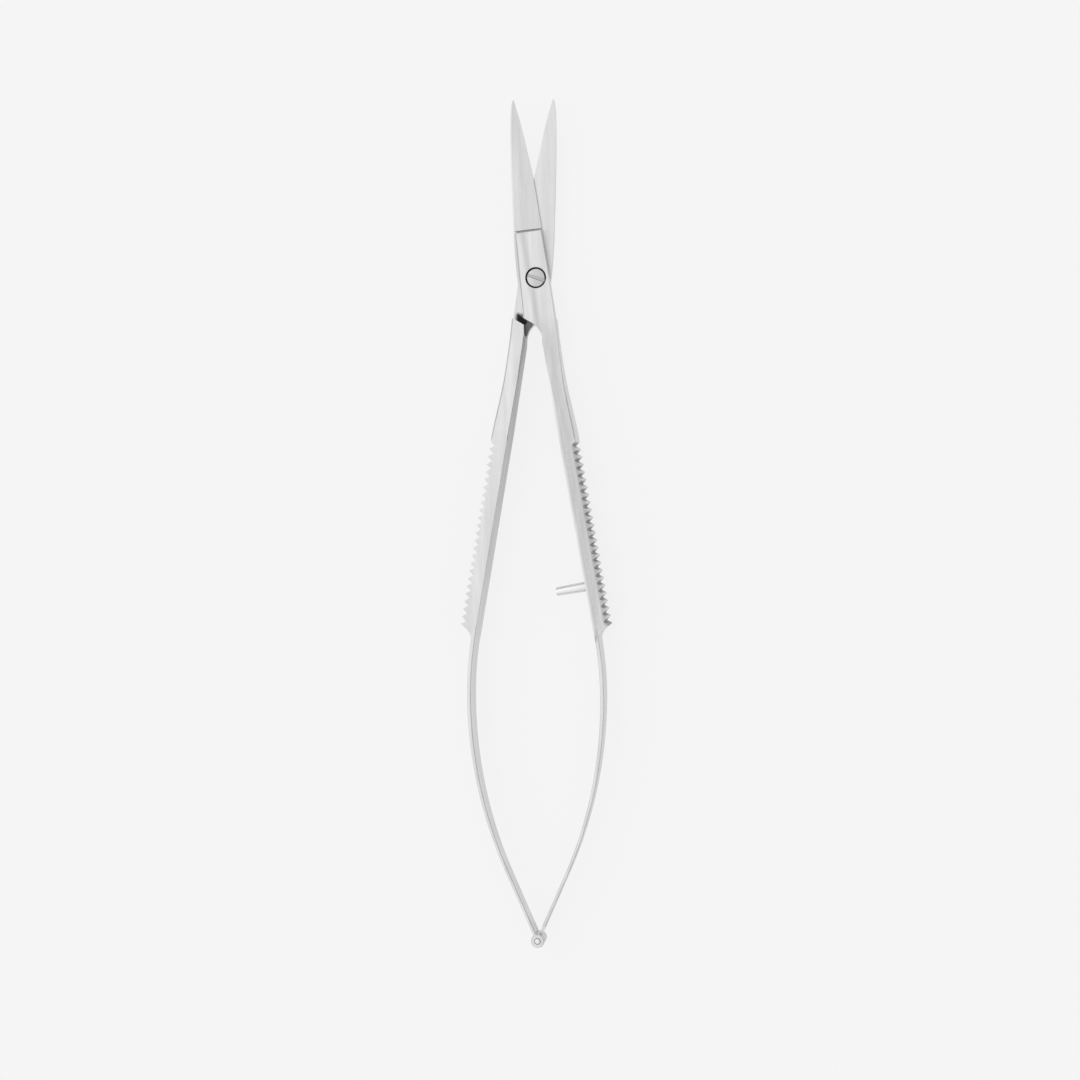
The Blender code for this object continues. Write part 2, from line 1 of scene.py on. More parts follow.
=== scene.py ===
"""Looks of the eyebrow scissors: two satin steel forgings, a slotted screw and two pins.

Lengths are written in millimetres, measured from the middle of the pivot joint, and are turned
into the frame's metres where a piece is placed.
"""
import json
import math

import bmesh
import bpy
from mathutils import Matrix, Vector


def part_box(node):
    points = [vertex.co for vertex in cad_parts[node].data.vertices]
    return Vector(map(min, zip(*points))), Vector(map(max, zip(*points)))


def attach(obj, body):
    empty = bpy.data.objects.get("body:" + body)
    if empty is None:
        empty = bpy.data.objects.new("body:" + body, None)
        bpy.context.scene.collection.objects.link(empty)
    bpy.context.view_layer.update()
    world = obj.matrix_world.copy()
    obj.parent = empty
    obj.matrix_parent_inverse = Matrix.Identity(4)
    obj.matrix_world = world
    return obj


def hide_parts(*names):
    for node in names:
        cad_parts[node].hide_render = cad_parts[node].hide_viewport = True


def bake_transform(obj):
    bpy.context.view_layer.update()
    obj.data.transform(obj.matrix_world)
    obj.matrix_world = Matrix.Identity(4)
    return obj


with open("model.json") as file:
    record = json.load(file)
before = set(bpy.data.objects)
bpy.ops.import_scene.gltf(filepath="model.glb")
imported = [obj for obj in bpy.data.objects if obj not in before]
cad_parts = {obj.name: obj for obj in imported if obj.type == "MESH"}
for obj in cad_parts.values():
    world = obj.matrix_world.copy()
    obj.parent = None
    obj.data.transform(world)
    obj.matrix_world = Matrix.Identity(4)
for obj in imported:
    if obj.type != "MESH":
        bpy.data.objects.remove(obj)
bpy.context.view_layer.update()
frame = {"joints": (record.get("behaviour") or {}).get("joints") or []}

MM = 0.001
joints = {joint["name"]: Vector(joint["pos_m"]) / MM for joint in frame["joints"]}
PIVOT = joints["pivot"]
# The joint's middle lies on the part's centre line, beside the screw
CENTRE = Vector((0, PIVOT.y, PIVOT.z))
TAIL_PIN_LOW, TAIL_PIN_HIGH = (Vector(corner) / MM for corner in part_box("tail_pin"))
TAIL = (TAIL_PIN_LOW + TAIL_PIN_HIGH) / 2 - CENTRE

# Arms, drawn closed and then opened about the pivot
HALF_OPENING = math.radians(6.5)
PIVOT_OFFSET = PIVOT.x
LAP = 0.03
BOSS_HALF_DEPTH = 1.25
BOSS_HALF_WIDTH = 2.28
BLADE_LENGTH = 25.2
LEDGE = 6.6
GROOVE_DEPTH = 0.06
GROOVE_START = 0.02
GROOVE_WIDTH = 0.2
GROOVE_END = 0.3
GROUND_HEIGHT = 0.625
GROUND_SLOPE = 0.1425
GROUND_TAPER = 0.0148
GROUND_LEAST = 0.14
TIP_INSET = 0.05
HANDLE_LEAN = math.radians(3.4)
NECK_STATION = 9.1
NECK_OFFSET = 0.2
NECK_WIDTH = 2.2
NECK_HALF_DEPTH = 1.4
NECK_WAIST = (-15, 2.04)
FLARE_STATION = 21.5
GRIP_WIDTH = 2.3
GRIP_HALF_DEPTH = 2.5
GRIP_START = 23.4
GRIP_END = 50.8
HEEL_STEP = Vector((-0.0082, -0.0057))
HEEL_RUN = 1.1
HEEL_DEPTH_RUN = 1.5
TOOTH_COUNT = 24
TOOTH_DEPTH = 0.58
TOOTH_PITCH = 1.086
TOOTH_CREST = 0.1
TOOTH_ROOT = 0.1
FACE_TILTS = ((-5.2, 0.0), (-6.1, 0.6), (-7.3, 4.5), (-9.0, 11.5), (-11, 14.0), (-14, 13.0),
              (-24, 8.5), (-60, 8.5))
BLADE_BACK_SHARES = ((0.16, 0.965), (0.31, 0.86), (0.53, 0.68), (0.725, 0.487), (0.92, 0.242))
BLADE_EDGE_SHARES = ((0.04, 0.95), (0.347, 0.79), (0.55, 0.686), (0.694, 0.513), (0.865, 0.295))
TIP_WIDTH = 0.16
BOSS_FOOT = -5.35
BOSS_FOOT_SHARE = 0.91
BOSS_FOOT_SLOPE = math.radians(37)
BEVEL_AT_FOOT = 0.1
BEVEL_AT_LEDGE = 0.35
BEVEL_LIP = 0.06
BOSS_FOOT_OUT = -5.2
LAP_WASTE = 0.3
BOSS_SEAM = 0.04
SHOULDER_OUT = Vector((2.28, -5.96))
SHOULDER_IN = Vector((0.65, -6.69))
SHOULDER_SIDE = Vector((0.5, -8.0))
SHOULDER_END = Vector((0.0, -9.4))
CROTCH_RADIUS = 3.0

# Leaves, drawn in the open pose
LEAF_THICKNESS = 0.57
LEAF_END_THICKNESS = 0.45
LEAF_ROUND = 0.17
LEAF_END_INSET = 0.7
LEAF_HALF_DEPTH = 2.1
TAIL_HALF_DEPTH = 1.4
TAIL_DEPTH_RUN = 1
UPPER_BOW_RADIUS = 51.0
LOWER_BOW_RADIUS = 62.0
TAIL_ANGLE = math.radians(23.5)

# Tail hinge, screw and stop pin
KNUCKLE_RADIUS = 0.95
KNUCKLE_HALF_DEPTH = 0.6
KNUCKLE_GAP = 0.12
KNUCKLE_CHAMFER = 0.06
NOTCH_RADIUS = 2.3
NOTCH_EXTRA = 0.03
TAIL_PIN_RADIUS = 0.4
TAIL_PIN_FIT = 0.05
TAIL_PIN_PLAY = 0.15
TAIL_PIN_DOME = 0.12
SCREW_HEAD_RADIUS = 1.3
SCREW_HEAD_DEPTH = 0.5
SCREW_TOP = BOSS_HALF_DEPTH - 0.08
SCREW_CHAMFER = 0.08
SCREW_DOME = 0.05
SHANK_RADIUS = 0.8
SCREW_FIT = 0.06
SLOT_WIDTH = 0.42
SLOT_DEPTH = 0.26
SLOT_ANGLE = math.radians(-20)
COUNTERBORE_RADIUS = 1.45
COUNTERBORE_CHAMFER = 0.05
PIN_STATION = 43.8
PIN_ROOT_RADIUS = 0.72
PIN_TIP_RADIUS = 0.61
PIN_CHAMFER = 0.12
PIN_SEAT = 1.1
PIN_TIP_CLEARANCE = 0.12
# Domed ends, as shares of their radius and their height
SCREW_DOME_SHARES = ((0.35, 0.12), (0.7, 0.49))
TAIL_PIN_DOME_SHARES = ((0.6, 0.1), (0.88, 0.45))
PIN_CHAMFER_SHARE = 0.3

# Edges of a forging: radii, flat bevels and the crown of its broad faces
CORNER_STEPS = 5
EDGE_HOLD = 0.04
EDGE_HOLD_SHARE = 0.1
GRIP_ROUND = 0.1
NECK_ROUND = 0.3
LAP_ROUND = 0.02
FOOT_ROUND = 0.06
BLADE_ROUND = 0.1
BLADE_ROUND_SHARE = 0.2
CUTTING_ROUND = 0.03
BLADE_LAP_ROUND = 0.01
HANDLE_CROWN = 0.03
BOSS_CROWN = 0.02
INNER_BEVEL = (0.5, 0.22, 0.02)
INNER_BEVEL_STATIONS = (12, 21)
THIN_BEVEL = 0.05
OUTER_BEVEL = (0.2, 0.16, 0.01)
NECK_BEVEL = (0.3, 0.27)
NECK_BEVEL_LIP = 0.01
NECK_BEVEL_END = 16
BOSS_BEVEL_SLOPE = 0.72
LIP_LEAN = 1 / 3
BEVEL_HOLD = 0.1
QUARTER = math.pi / 2

# Sections along each stretch of a forging, and sides of what is turned
OUTLINE_STEPS = 6
DEPTH_STEPS = 8
TILT_STEPS = 4
LEAF_END_STEPS = 9
LOWER_BOW_STEPS = 21
UPPER_BOW_STEPS = 40
HEEL_STEPS = 12
NECK_STEPS = 27
CROTCH_STEPS = 8
BOSS_STEPS = 14
BLADE_STEPS = 36
ROD_SIDES = 48
TURNED_SIDES = 64
SCREW_SIDES = 96
WELD_DISTANCE = 0.001
SMOOTH_ANGLE = math.radians(28)

# How far tools reach past what they cut
CUT_REACH = 3
CUT_SPARE = 1
SLOT_SPARE = 0.3

# Camera, fitted to the photograph, and stage
TILT = math.radians(8.54)
PITCH = math.radians(1.46)
ROLL = math.radians(-0.38)
DISTANCE = 250.0
AIM_RIGHT = 0.542
AIM_UP = -2.085
SENSOR = 36.0
PIXELS_PER_MM = 7.084
FRAME_PIXELS = 1080
CLIP_START = 10
CLIP_END = 10000
BACKDROP = (0.92, 0.92, 0.92)
FLOOR_GLOW = 0.9
FLOOR_SIZE = 3000
SKY_LEVEL = 0.98
SKY_SLOPE = 0.35
SKY_STOPS = [(0.0, (0.25,) * 3), (0.2, (0.5,) * 3), (0.45, (1.0,) * 3)]
LAMP_PLACE = (-300, 200, 500)
LAMP_SIZE = 300
LAMP_LEVEL = 0.5

# Steel: how dark its painted shade is, in recesses, gaps and creases and as a dark reflection
# streak, and the grain of its polish
# Colour of the painted shade in notches, gaps and creases
PAINTED_SHADE_TONE = 0.03
LEDGE_DARK = 0.55
RECESS_DULLNESS = 0.3
CROTCH_DARK = 0.75
FLANK_DARK = 0.33
FACET_DARK = 0.2
VALLEY_DARK = 0.52
SLOT_DARK = 0.12
SLOT_EDGE_DARK = 0.55
RING_DARK = 0.88
BOSS_STREAK_DARK = 0.2
CREASE_DARK = 0.35
STREAK_SCALE = 900.0
STREAK_DEPTH = 0.35
STREAK_STRETCH = (1.0, 0.04, 1.0)
GRAIN_STRETCH = (1.0, 0.06, 1.0)
CLOUD_SCALE = 260.0
FINE_SCALE = 9000.0
GRAIN_SHARE = 0.7
GRAIN_GLOSS = 0.1
CLOUD_GLOSS = 0.08
GLOSS_MIDDLE = 0.09
DULL_TONE = 0.93
BRIGHT_TONE = 1.04
BRIGHT_WARMTH = 0.004
SCRATCH_HEIGHT = 0.00002
# Sockets of a Mix node that are for colours, by their number
MIX_FACTOR = 0
MIX_FIRST = 6
MIX_SECOND = 7
MIX_RESULT = 2

# Where the painted shade and the painted reflection streak on the steel end: a pair says how far
# each is whole, and where it is gone
SIDE_FADE = (-0.2, 0.2)
MIDDLE_FADE = (0.1, 0.2)
HANDLE_FADE = (2.35, 3.0)
NOTCH_FADE = (0.25, 0.85)
WALL_FADE = (0.3, 1.15)
CROTCH_FADE = (1.0, 1.5)
CROTCH_RUN = 0.4
LAP_FADE = (0.08, 0.3)
LEDGE_MARK = 0.05
LEDGE_FADE = (0.1, 0.24)
LEDGE_WALL_FADE = (0.25, 0.4)
VALLEY_MARK = 0.3
VALLEY_ROOT_FADE = (0.0, 0.35)
VALLEY_PEAK_FADE = (0.62, 0.8)
VALLEY_FACE_FADE = (1.9, GRIP_HALF_DEPTH)
RING_FADE = (COUNTERBORE_RADIUS, COUNTERBORE_RADIUS + 0.04)
RING_FLOOR_FADE = (0.3, 0.5)
FLANK_FADE = (0.3, 0.7)
FLANK_RUN = (-9.0, -60.0)
RIM_FADE = (-0.35, -0.22)
FACET_NEAR_FADE = (0.0, 0.45)
FACET_FAR_FADE = (0.5, 0.62)
FACET_RUN = (-21.0, -13.0)
LAP_TOP_FADE = (0.9, 1.0)
STREAK_FADE = (0.0, 0.8)
CREASE_FADE = (0.04, 0.14)
SCREW_RIM_FADE = (SCREW_HEAD_RADIUS - 0.07, SCREW_HEAD_RADIUS)
SLOT_EDGE_FADE = (0.02, 0.14)
SLOT_FADE = (SCREW_TOP - SLOT_DEPTH + 0.03, SCREW_TOP - 0.08)

TURN_OVER = Matrix.Translation(CENTRE * MM) @ Matrix.Rotation(math.pi, 4, "Y")
TURN_OVER @= Matrix.Translation(-CENTRE * MM)


def toward(angle):
    """Direction in plan at an angle from the X axis."""
    return Vector((math.cos(angle), math.sin(angle)))


def angle_of(point):
    """Angle of a direction in plan from the X axis."""
    return math.atan2(point.y, point.x)


def opened(point, offset=0.0):
    """A point of a closed arm, turned about its pivot to the open pose."""
    pivot = Vector((offset, 0))
    return pivot + Matrix.Rotation(HALF_OPENING, 2) @ (Vector(point) - pivot)


def smooth_through(points, steps):
    """A smooth curve through points, with a number of steps between each two."""
    chain = [points[0]] + list(points) + [points[-1]]
    curve = []
    for before, start, end, after in zip(chain, chain[1:], chain[2:], chain[3:]):
        for step in range(steps):
            t = step / steps
            pull = (end - before) * t + (2 * before - 5 * start + 4 * end - after) * t ** 2
            pull += (3 * start - before - 3 * end + after) * t ** 3
            curve.append(start + pull / 2)
    return curve + [points[-1]]


def ease(value, low, high):
    """A smooth step from 0 to 1 between two values."""
    t = min(1, max(0, (value - low) / (high - low)))
    return t * t * (3 - 2 * t)


class Section:
    """One cross-section of a forging: its inner and outer edge in plan, heights and corners.

    A corner is a radius, or a flat bevel as its width, its depth and the depth of a lip above it.
    """

    def __init__(self, inner, outer, low, high, corners, crown=0.0):
        self.inner = Vector(inner)
        self.outer = Vector(outer)
        self.low = low if isinstance(low, tuple) else (low, low)
        self.high = high if isinstance(high, tuple) else (high, high)
        self.corners = corners
        self.crown = crown

    def ring(self):
        """Points round the section, with its corners worked and the broad faces crowned."""
        width = (self.outer - self.inner).length
        places = [
            (Vector((0, self.low[0] + self.crown)), Vector((1, 1)), math.pi),
            (Vector((width, self.low[1] + self.crown)), Vector((-1, 1)), math.pi + QUARTER),
            (Vector((width, self.high[1] - self.crown)), Vector((-1, -1)), 0),
            (Vector((0, self.high[0] - self.crown)), Vector((1, -1)), QUARTER),
        ]
        height = self.high[1] - self.low[1]
        hold = min(EDGE_HOLD, width * EDGE_HOLD_SHARE, height * EDGE_HOLD_SHARE)
        points = []
        for (place, inward, begin), size in zip(places, self.corners):
            made = flat_corner if isinstance(size, tuple) else round_corner
            corner = made(place, inward, begin, size)
            coming = Vector((-math.sin(begin), math.cos(begin)))
            going = Vector((-coming.y, coming.x))
            points += [corner[0] - coming * hold] + corner + [corner[-1] + going * hold]
            if begin == math.pi:
                points.append(Vector((width / 2, (self.low[0] + self.low[1]) / 2)))
            elif begin == 0:
                points.append(Vector((width / 2, (self.high[0] + self.high[1]) / 2)))
        along = (self.outer - self.inner).normalized()
        ring = []
        for across, up in points:
            plan = self.inner + along * across
            ring.append(Vector((plan.x, plan.y, up)))
        return ring


def round_corner(place, inward, begin, radius):
    """Points of a quarter round in a corner of a section."""
    middle = place + inward * radius
    angles = [begin + QUARTER * step / CORNER_STEPS for step in range(CORNER_STEPS + 1)]
    return [middle + radius * toward(angle) for angle in angles]


def flat_corner(place, inward, begin, size):
    """As many points of a flat bevel, with a crisp lip where it leaves the broad face."""
    width, depth, lip_depth = size
    face = place + Vector((inward.x * width, 0))
    lip = face + Vector((-inward.x * lip_depth * LIP_LEAN, inward.y * lip_depth))
    side = place + Vector((0, inward.y * depth))
    flat = [lip.lerp(side, BEVEL_HOLD), lip.lerp(side, 1 - BEVEL_HOLD)]
    points = [face, face.lerp(lip, 0.5), lip, *flat, side]
    return points if begin % math.pi == QUARTER else points[::-1]


def handle_inner(station):
    """Inner face of a closed handle, at a distance below the pivot."""
    return Vector((NECK_OFFSET + (station - NECK_STATION) * math.tan(HANDLE_LEAN), -station))


# Leaf curves of the open pose, which run on from the end of the grip
LEAF_START = opened(handle_inner(GRIP_END))
LEAF_START_ANGLE = HALF_OPENING + HANDLE_LEAN
BELLY_IN = LEAF_START.x + UPPER_BOW_RADIUS * (1 - math.cos(LEAF_START_ANGLE))
BELLY_Y = LEAF_START.y - UPPER_BOW_RADIUS * math.sin(LEAF_START_ANGLE)
UPPER_CENTRE = Vector((BELLY_IN - UPPER_BOW_RADIUS, BELLY_Y))
LOWER_CENTRE = Vector((BELLY_IN + LEAF_THICKNESS / 2 - LOWER_BOW_RADIUS, BELLY_Y))
BOW_END = LOWER_CENTRE + LOWER_BOW_RADIUS * toward(-TAIL_ANGLE)

# Ends of the painted shade and the painted reflection streak in plan, in the open pose, on the
# front arm or folded to the right side
NOTCH_OUT = opened((1.8, -5.55), PIVOT_OFFSET)
NOTCH_MIDDLE = opened((0.8, -6.15), PIVOT_OFFSET)
NOTCH_IN = opened((0.4, -7.9), PIVOT_OFFSET)
LEDGE_IN = opened((-1.5, LEDGE + LEDGE_MARK), PIVOT_OFFSET)
LEDGE_OUT = opened((1.8, LEDGE + LEDGE_MARK), PIVOT_OFFSET)
SCREW_PLACE = Vector((PIVOT_OFFSET, 0))
SLOT_ALONG = toward(SLOT_ANGLE)
SLOT_LOWER = SCREW_PLACE - SLOT_ALONG.orthogonal() * SLOT_WIDTH / 2
SLOT_LEFT = SLOT_LOWER - SLOT_ALONG * SCREW_HEAD_RADIUS
SLOT_RIGHT = SLOT_LOWER + SLOT_ALONG * SCREW_HEAD_RADIUS
STREAK_TOP = Vector((-1.6, 6.9))
STREAK_LOW = Vector((0.78, -7.4))
CREASE_TOP = opened((BEVEL_AT_LEDGE - BOSS_HALF_WIDTH * BOSS_FOOT_SHARE, LEDGE), PIVOT_OFFSET)
CREASE_LOW = opened((BEVEL_AT_FOOT - BOSS_HALF_WIDTH * BOSS_FOOT_SHARE, -5.3), PIVOT_OFFSET)
CROTCH_LOW = -7.9
FIRST_VALLEY = GRIP_START + TOOTH_PITCH / 2
LAST_VALLEY = FIRST_VALLEY + (TOOTH_COUNT - 1) * TOOTH_PITCH
GRIP_ACROSS = Vector((GRIP_WIDTH, 0))
PEAKS_TOP = opened(handle_inner(FIRST_VALLEY + VALLEY_MARK) + GRIP_ACROSS, PIVOT_OFFSET)
PEAKS_LOW = opened(handle_inner(LAST_VALLEY) + GRIP_ACROSS, PIVOT_OFFSET)
FLANK_LOW = opened(handle_inner(GRIP_END), PIVOT_OFFSET)
FACET_TOP = opened(handle_inner(NECK_STATION), PIVOT_OFFSET)
FLANK_RISE = (GRIP_HALF_DEPTH - NECK_HALF_DEPTH) / (FLARE_STATION - NECK_STATION)
FLANK_BASE = NECK_HALF_DEPTH - FLANK_RISE * NECK_STATION


def table_value(table, place):
    """The second value of a table at a place along its first, between its rows."""
    for before, after in zip(table, table[1:]):
        low, high = sorted((before.x, after.x))
        if low <= place <= high:
            share = (place - before.x) / (after.x - before.x) if after.x != before.x else 0
            return before.y + (after.y - before.y) * share
    return table[0].y if abs(place - table[0].x) < abs(place - table[-1].x) else table[-1].y


def depth_table():
    """Half depth of an arm and its leaf by its place along the length."""
    middle = (LEAF_HALF_DEPTH + TAIL_HALF_DEPTH) / 2
    neck = [(BOSS_FOOT, BOSS_HALF_DEPTH), (-NECK_STATION, NECK_HALF_DEPTH),
            (-FLARE_STATION, GRIP_HALF_DEPTH)]
    heel = [(LEAF_START.y + HEEL_DEPTH_RUN, GRIP_HALF_DEPTH),
            (LEAF_START.y - HEEL_DEPTH_RUN, LEAF_HALF_DEPTH)]
    tail = [(BELLY_Y, LEAF_HALF_DEPTH), ((BELLY_Y + BOW_END.y) / 2, middle),
            (BOW_END.y, TAIL_HALF_DEPTH), (TAIL.y - TAIL_DEPTH_RUN, TAIL_HALF_DEPTH)]
    table = []
    for stretch in (neck, heel, tail):
        table += smooth_through([Vector(row) for row in stretch], DEPTH_STEPS)
    return table


DEPTHS = depth_table()
TILTS = smooth_through([Vector(row) for row in FACE_TILTS], TILT_STEPS)


def half_depth(place):
    """Half depth of an arm and its leaf at a place along the length."""
    return BOSS_HALF_DEPTH if place > BOSS_FOOT else table_value(DEPTHS, place)


def leaning(inner, outer, depth):
    """Heights of the upper face at both ends of a section of the closed arm, lower outside."""
    tilt = math.tan(math.radians(table_value(TILTS, outer.y)))
    return depth, depth - tilt * (outer - inner).length


def back_curve():
    """Back of the blade and left side of the boss, as places and distances from the middle."""
    rows = [(BOSS_FOOT, BOSS_HALF_WIDTH * BOSS_FOOT_SHARE), (0, BOSS_HALF_WIDTH)]
    rows += [(along * BLADE_LENGTH, out * BOSS_HALF_WIDTH) for along, out in BLADE_BACK_SHARES]
    rows.append((BLADE_LENGTH, TIP_WIDTH / 2))
    return smooth_through([Vector(row) for row in rows], OUTLINE_STEPS)


def edge_curve():
    """Right side of the neck and boss, and the cutting edge, as places and distances."""
    rows = [(-NECK_STATION, NECK_OFFSET + NECK_WIDTH), (BOSS_FOOT, NECK_OFFSET + NECK_WIDTH)]
    rows += [(along * BLADE_LENGTH, out * BOSS_HALF_WIDTH) for along, out in BLADE_EDGE_SHARES]
    rows.append((BLADE_LENGTH, TIP_WIDTH / 2))
    return smooth_through([Vector(row) for row in rows], OUTLINE_STEPS)


BACK_CURVE = back_curve()
EDGE_CURVE = edge_curve()


def leaf_section(inner, outer, place):
    """A section of a leaf: four equal rounds, as deep above the middle as below it."""
    height = half_depth(place)
    return Section(inner, outer, -height, height, (LEAF_ROUND,) * 4)


def lower_leaf_sections():
    """Sections of the leaf from the tail hinge up to its belly."""
    sections = []
    tail = Vector((TAIL.x, TAIL.y))
    straight = (BOW_END - tail).length
    out = toward(-TAIL_ANGLE)
    inset = LEAF_END_INSET / straight
    for step in range(LEAF_END_STEPS):
        middle = tail + (BOW_END - tail) * (inset + (1 - inset) * step / LEAF_END_STEPS)
        sections.append((middle, out, LEAF_END_THICKNESS))
    for step in range(LOWER_BOW_STEPS):
        share = step / LOWER_BOW_STEPS
        out = toward(-TAIL_ANGLE * (1 - share))
        thick = LEAF_END_THICKNESS + (LEAF_THICKNESS - LEAF_END_THICKNESS) * share
        sections.append((LOWER_CENTRE + out * LOWER_BOW_RADIUS, out, thick))
    return [leaf_section(middle - out * thick / 2, middle + out * thick / 2, middle.y)
            for middle, out, thick in sections]


def upper_leaf_sections(heel_y):
    """Sections of the leaf from its belly up to the heel of the grip."""
    made = []
    for step in range(UPPER_BOW_STEPS):
        out = toward(LEAF_START_ANGLE * step / UPPER_BOW_STEPS)
        outer = UPPER_CENTRE + out * (UPPER_BOW_RADIUS + LEAF_THICKNESS)
        if outer.y > heel_y:
            break
        made.append(leaf_section(UPPER_CENTRE + out * UPPER_BOW_RADIUS, outer, outer.y))
    return made


def grip_line(along_grip, inward=0.0):
    """A point on the toothed side of a closed grip, and the inner point across from it."""
    start = handle_inner(GRIP_START)
    line = (handle_inner(GRIP_END) - start).normalized()
    inner = start + line * along_grip
    across = Vector((-line.y, line.x))
    return inner, inner + GRIP_ACROSS - across * inward


def heel_sections(offset):
    """Sections of the slanted heel between the leaf and the last tooth."""
    peak = opened(grip_line(TOOTH_COUNT * TOOTH_PITCH + TOOTH_CREST / 2)[1], offset)
    radius = UPPER_BOW_RADIUS + LEAF_THICKNESS
    corner = peak.copy()
    while (corner - UPPER_CENTRE).length > radius:
        corner += HEEL_STEP
    low = UPPER_CENTRE + radius * toward(angle_of(corner - UPPER_CENTRE) - HEEL_RUN / radius)
    made = []
    for step in range(HEEL_STEPS + 1):
        t = step / HEEL_STEPS
        outer = low * (1 - t) ** 2 + corner * 2 * t * (1 - t) + peak * t * t
        inner = UPPER_CENTRE + UPPER_BOW_RADIUS * toward(angle_of(outer - UPPER_CENTRE))
        wide, deep = (LEAF_ROUND + (size - LEAF_ROUND) * t for size in INNER_BEVEL[:2])
        depth = half_depth(outer.y)
        lean = math.tan(math.radians(FACE_TILTS[-1][1])) * t
        high = (depth, depth - lean * (outer - inner).length)
        corners = (LEAF_ROUND,) * 3 + ((wide, deep, INNER_BEVEL[2]),)
        made.append(Section(inner, outer, -depth, high, corners))
    return made, low.y


def grip_sections(offset):
    """Sections of the toothed grip, four to a tooth, from its heel to its first tooth."""
    stops = []
    crest = TOOTH_CREST / 2
    root = TOOTH_ROOT / 2
    for tooth in range(TOOTH_COUNT, -1, -1):
        middle = tooth * TOOTH_PITCH
        stops += [(middle + crest, 0.0), (middle - crest, 0.0)]
        if tooth:
            valley = middle - TOOTH_PITCH / 2
            stops += [(valley + root, TOOTH_DEPTH), (valley - root, TOOTH_DEPTH)]
    made = []
    for along, inward in stops[1:]:
        closed = grip_line(along, inward)
        inner, outer = (opened(point, offset) for point in closed)
        high = leaning(*closed, half_depth(inner.y))
        corners = (GRIP_ROUND,) * 3 + (INNER_BEVEL,)
        made.append(Section(inner, outer, -high[0], high, corners, HANDLE_CROWN))
    return made


def neck_bevel(share):
    """Inner bevel of the plain side, which fades out along the neck."""
    wide, deep = (GRIP_ROUND + (size - GRIP_ROUND) * share for size in NECK_BEVEL)
    return wide, deep, NECK_BEVEL_LIP


def neck_sections(offset):
    """Sections of the plain handle between the grip and the shoulder."""
    made = []
    outer_rows = [Vector((-GRIP_START, GRIP_WIDTH)), Vector((-FLARE_STATION, GRIP_WIDTH)),
                  Vector(NECK_WAIST), Vector((-NECK_STATION, NECK_WIDTH))]
    widths = smooth_through(outer_rows, OUTLINE_STEPS)
    for step in range(1, NECK_STEPS):
        station = GRIP_START + (NECK_STATION - GRIP_START) * step / NECK_STEPS
        inner = handle_inner(station)
        outer = inner + Vector((table_value(widths, -station), 0))
        place = opened(inner, offset)
        depth = half_depth(place.y)
        soft = ease(station, NECK_STATION, NECK_BEVEL_END)
        late = ease(station, *INNER_BEVEL_STATIONS)
        bevel = tuple(THIN_BEVEL + (size - THIN_BEVEL) * late for size in INNER_BEVEL)
        rounded = GRIP_ROUND + (NECK_ROUND - GRIP_ROUND) * soft
        corners = (neck_bevel(1 - soft), OUTER_BEVEL, rounded, bevel)
        end = opened(outer, offset)
        high = leaning(inner, outer, depth)
        made.append(Section(place, end, -depth, high, corners, HANDLE_CROWN))
    return made


def boss_foot():
    """Round from the handle's inner side into the slanted foot of the boss, going up."""
    radius = CROTCH_RADIUS
    foot = Vector((-BOSS_HALF_WIDTH * BOSS_FOOT_SHARE, BOSS_FOOT))
    reach = handle_inner(NECK_STATION).x - foot.x
    corner = foot + Vector((reach, -reach * math.tan(BOSS_FOOT_SLOPE)))
    up = (foot - corner).normalized()
    down = (handle_inner(FLARE_STATION) - corner).normalized()
    half = up.angle(down) / 2
    middle = corner + (up + down).normalized() * radius / math.sin(half)
    start = corner + down * radius / math.tan(half) - middle
    end = corner + up * radius / math.tan(half) - middle
    begin = angle_of(start)
    sweep = math.remainder(angle_of(end) - begin, math.tau)
    angles = [begin + sweep * step / CROTCH_STEPS for step in range(CROTCH_STEPS + 1)]
    curve = [middle + radius * toward(angle) for angle in angles]
    return curve + [curve[-1].lerp(foot, 0.5), foot]


def boss_sections(offset):
    """Sections of the shoulder and the boss, with metal below the lap that is cut away later."""
    foot = boss_foot()
    made = []
    depth = BOSS_HALF_DEPTH
    for index, inner in enumerate(foot):
        share = index / (len(foot) - 1)
        place = foot[0].y + (BOSS_FOOT_OUT - foot[0].y) * share
        outer = Vector((table_value(EDGE_CURVE, place), place))
        ends = opened(inner, offset), opened(outer, offset)
        rounded = GRIP_ROUND + (FOOT_ROUND - GRIP_ROUND) * share
        corners = (neck_bevel(1 - share), OUTER_BEVEL, GRIP_ROUND, rounded)
        made.append(Section(*ends, -depth, leaning(inner, outer, depth), corners, BOSS_CROWN))
    for step in range(BOSS_STEPS + 1):
        t = step / BOSS_STEPS
        place_in = BOSS_FOOT + BOSS_SEAM + (LEDGE - BOSS_FOOT - BOSS_SEAM) * t
        place_out = BOSS_FOOT_OUT + BOSS_SEAM + (LEDGE - BOSS_FOOT_OUT - BOSS_SEAM) * t
        inner = Vector((-table_value(BACK_CURVE, place_in), place_in))
        outer = Vector((table_value(EDGE_CURVE, place_out), place_out))
        crease = BEVEL_AT_FOOT + (BEVEL_AT_LEDGE - BEVEL_AT_FOOT) * t
        bevel = crease - BOSS_HALF_WIDTH * BOSS_FOOT_SHARE - inner.x
        bevel = (bevel, bevel * BOSS_BEVEL_SLOPE, BEVEL_LIP)
        ends = opened(inner, offset), opened(outer, offset)
        corners = (LAP_ROUND, LAP_ROUND, GRIP_ROUND, bevel)
        made.append(Section(*ends, LAP - LAP_WASTE, depth, corners, BOSS_CROWN))
    return made


def ground_height(x, y):
    """Height of the ground face of a closed blade, which thins to its edge and its tip."""
    return GROUND_HEIGHT - GROUND_SLOPE * x - GROUND_TAPER * (y - LEDGE)


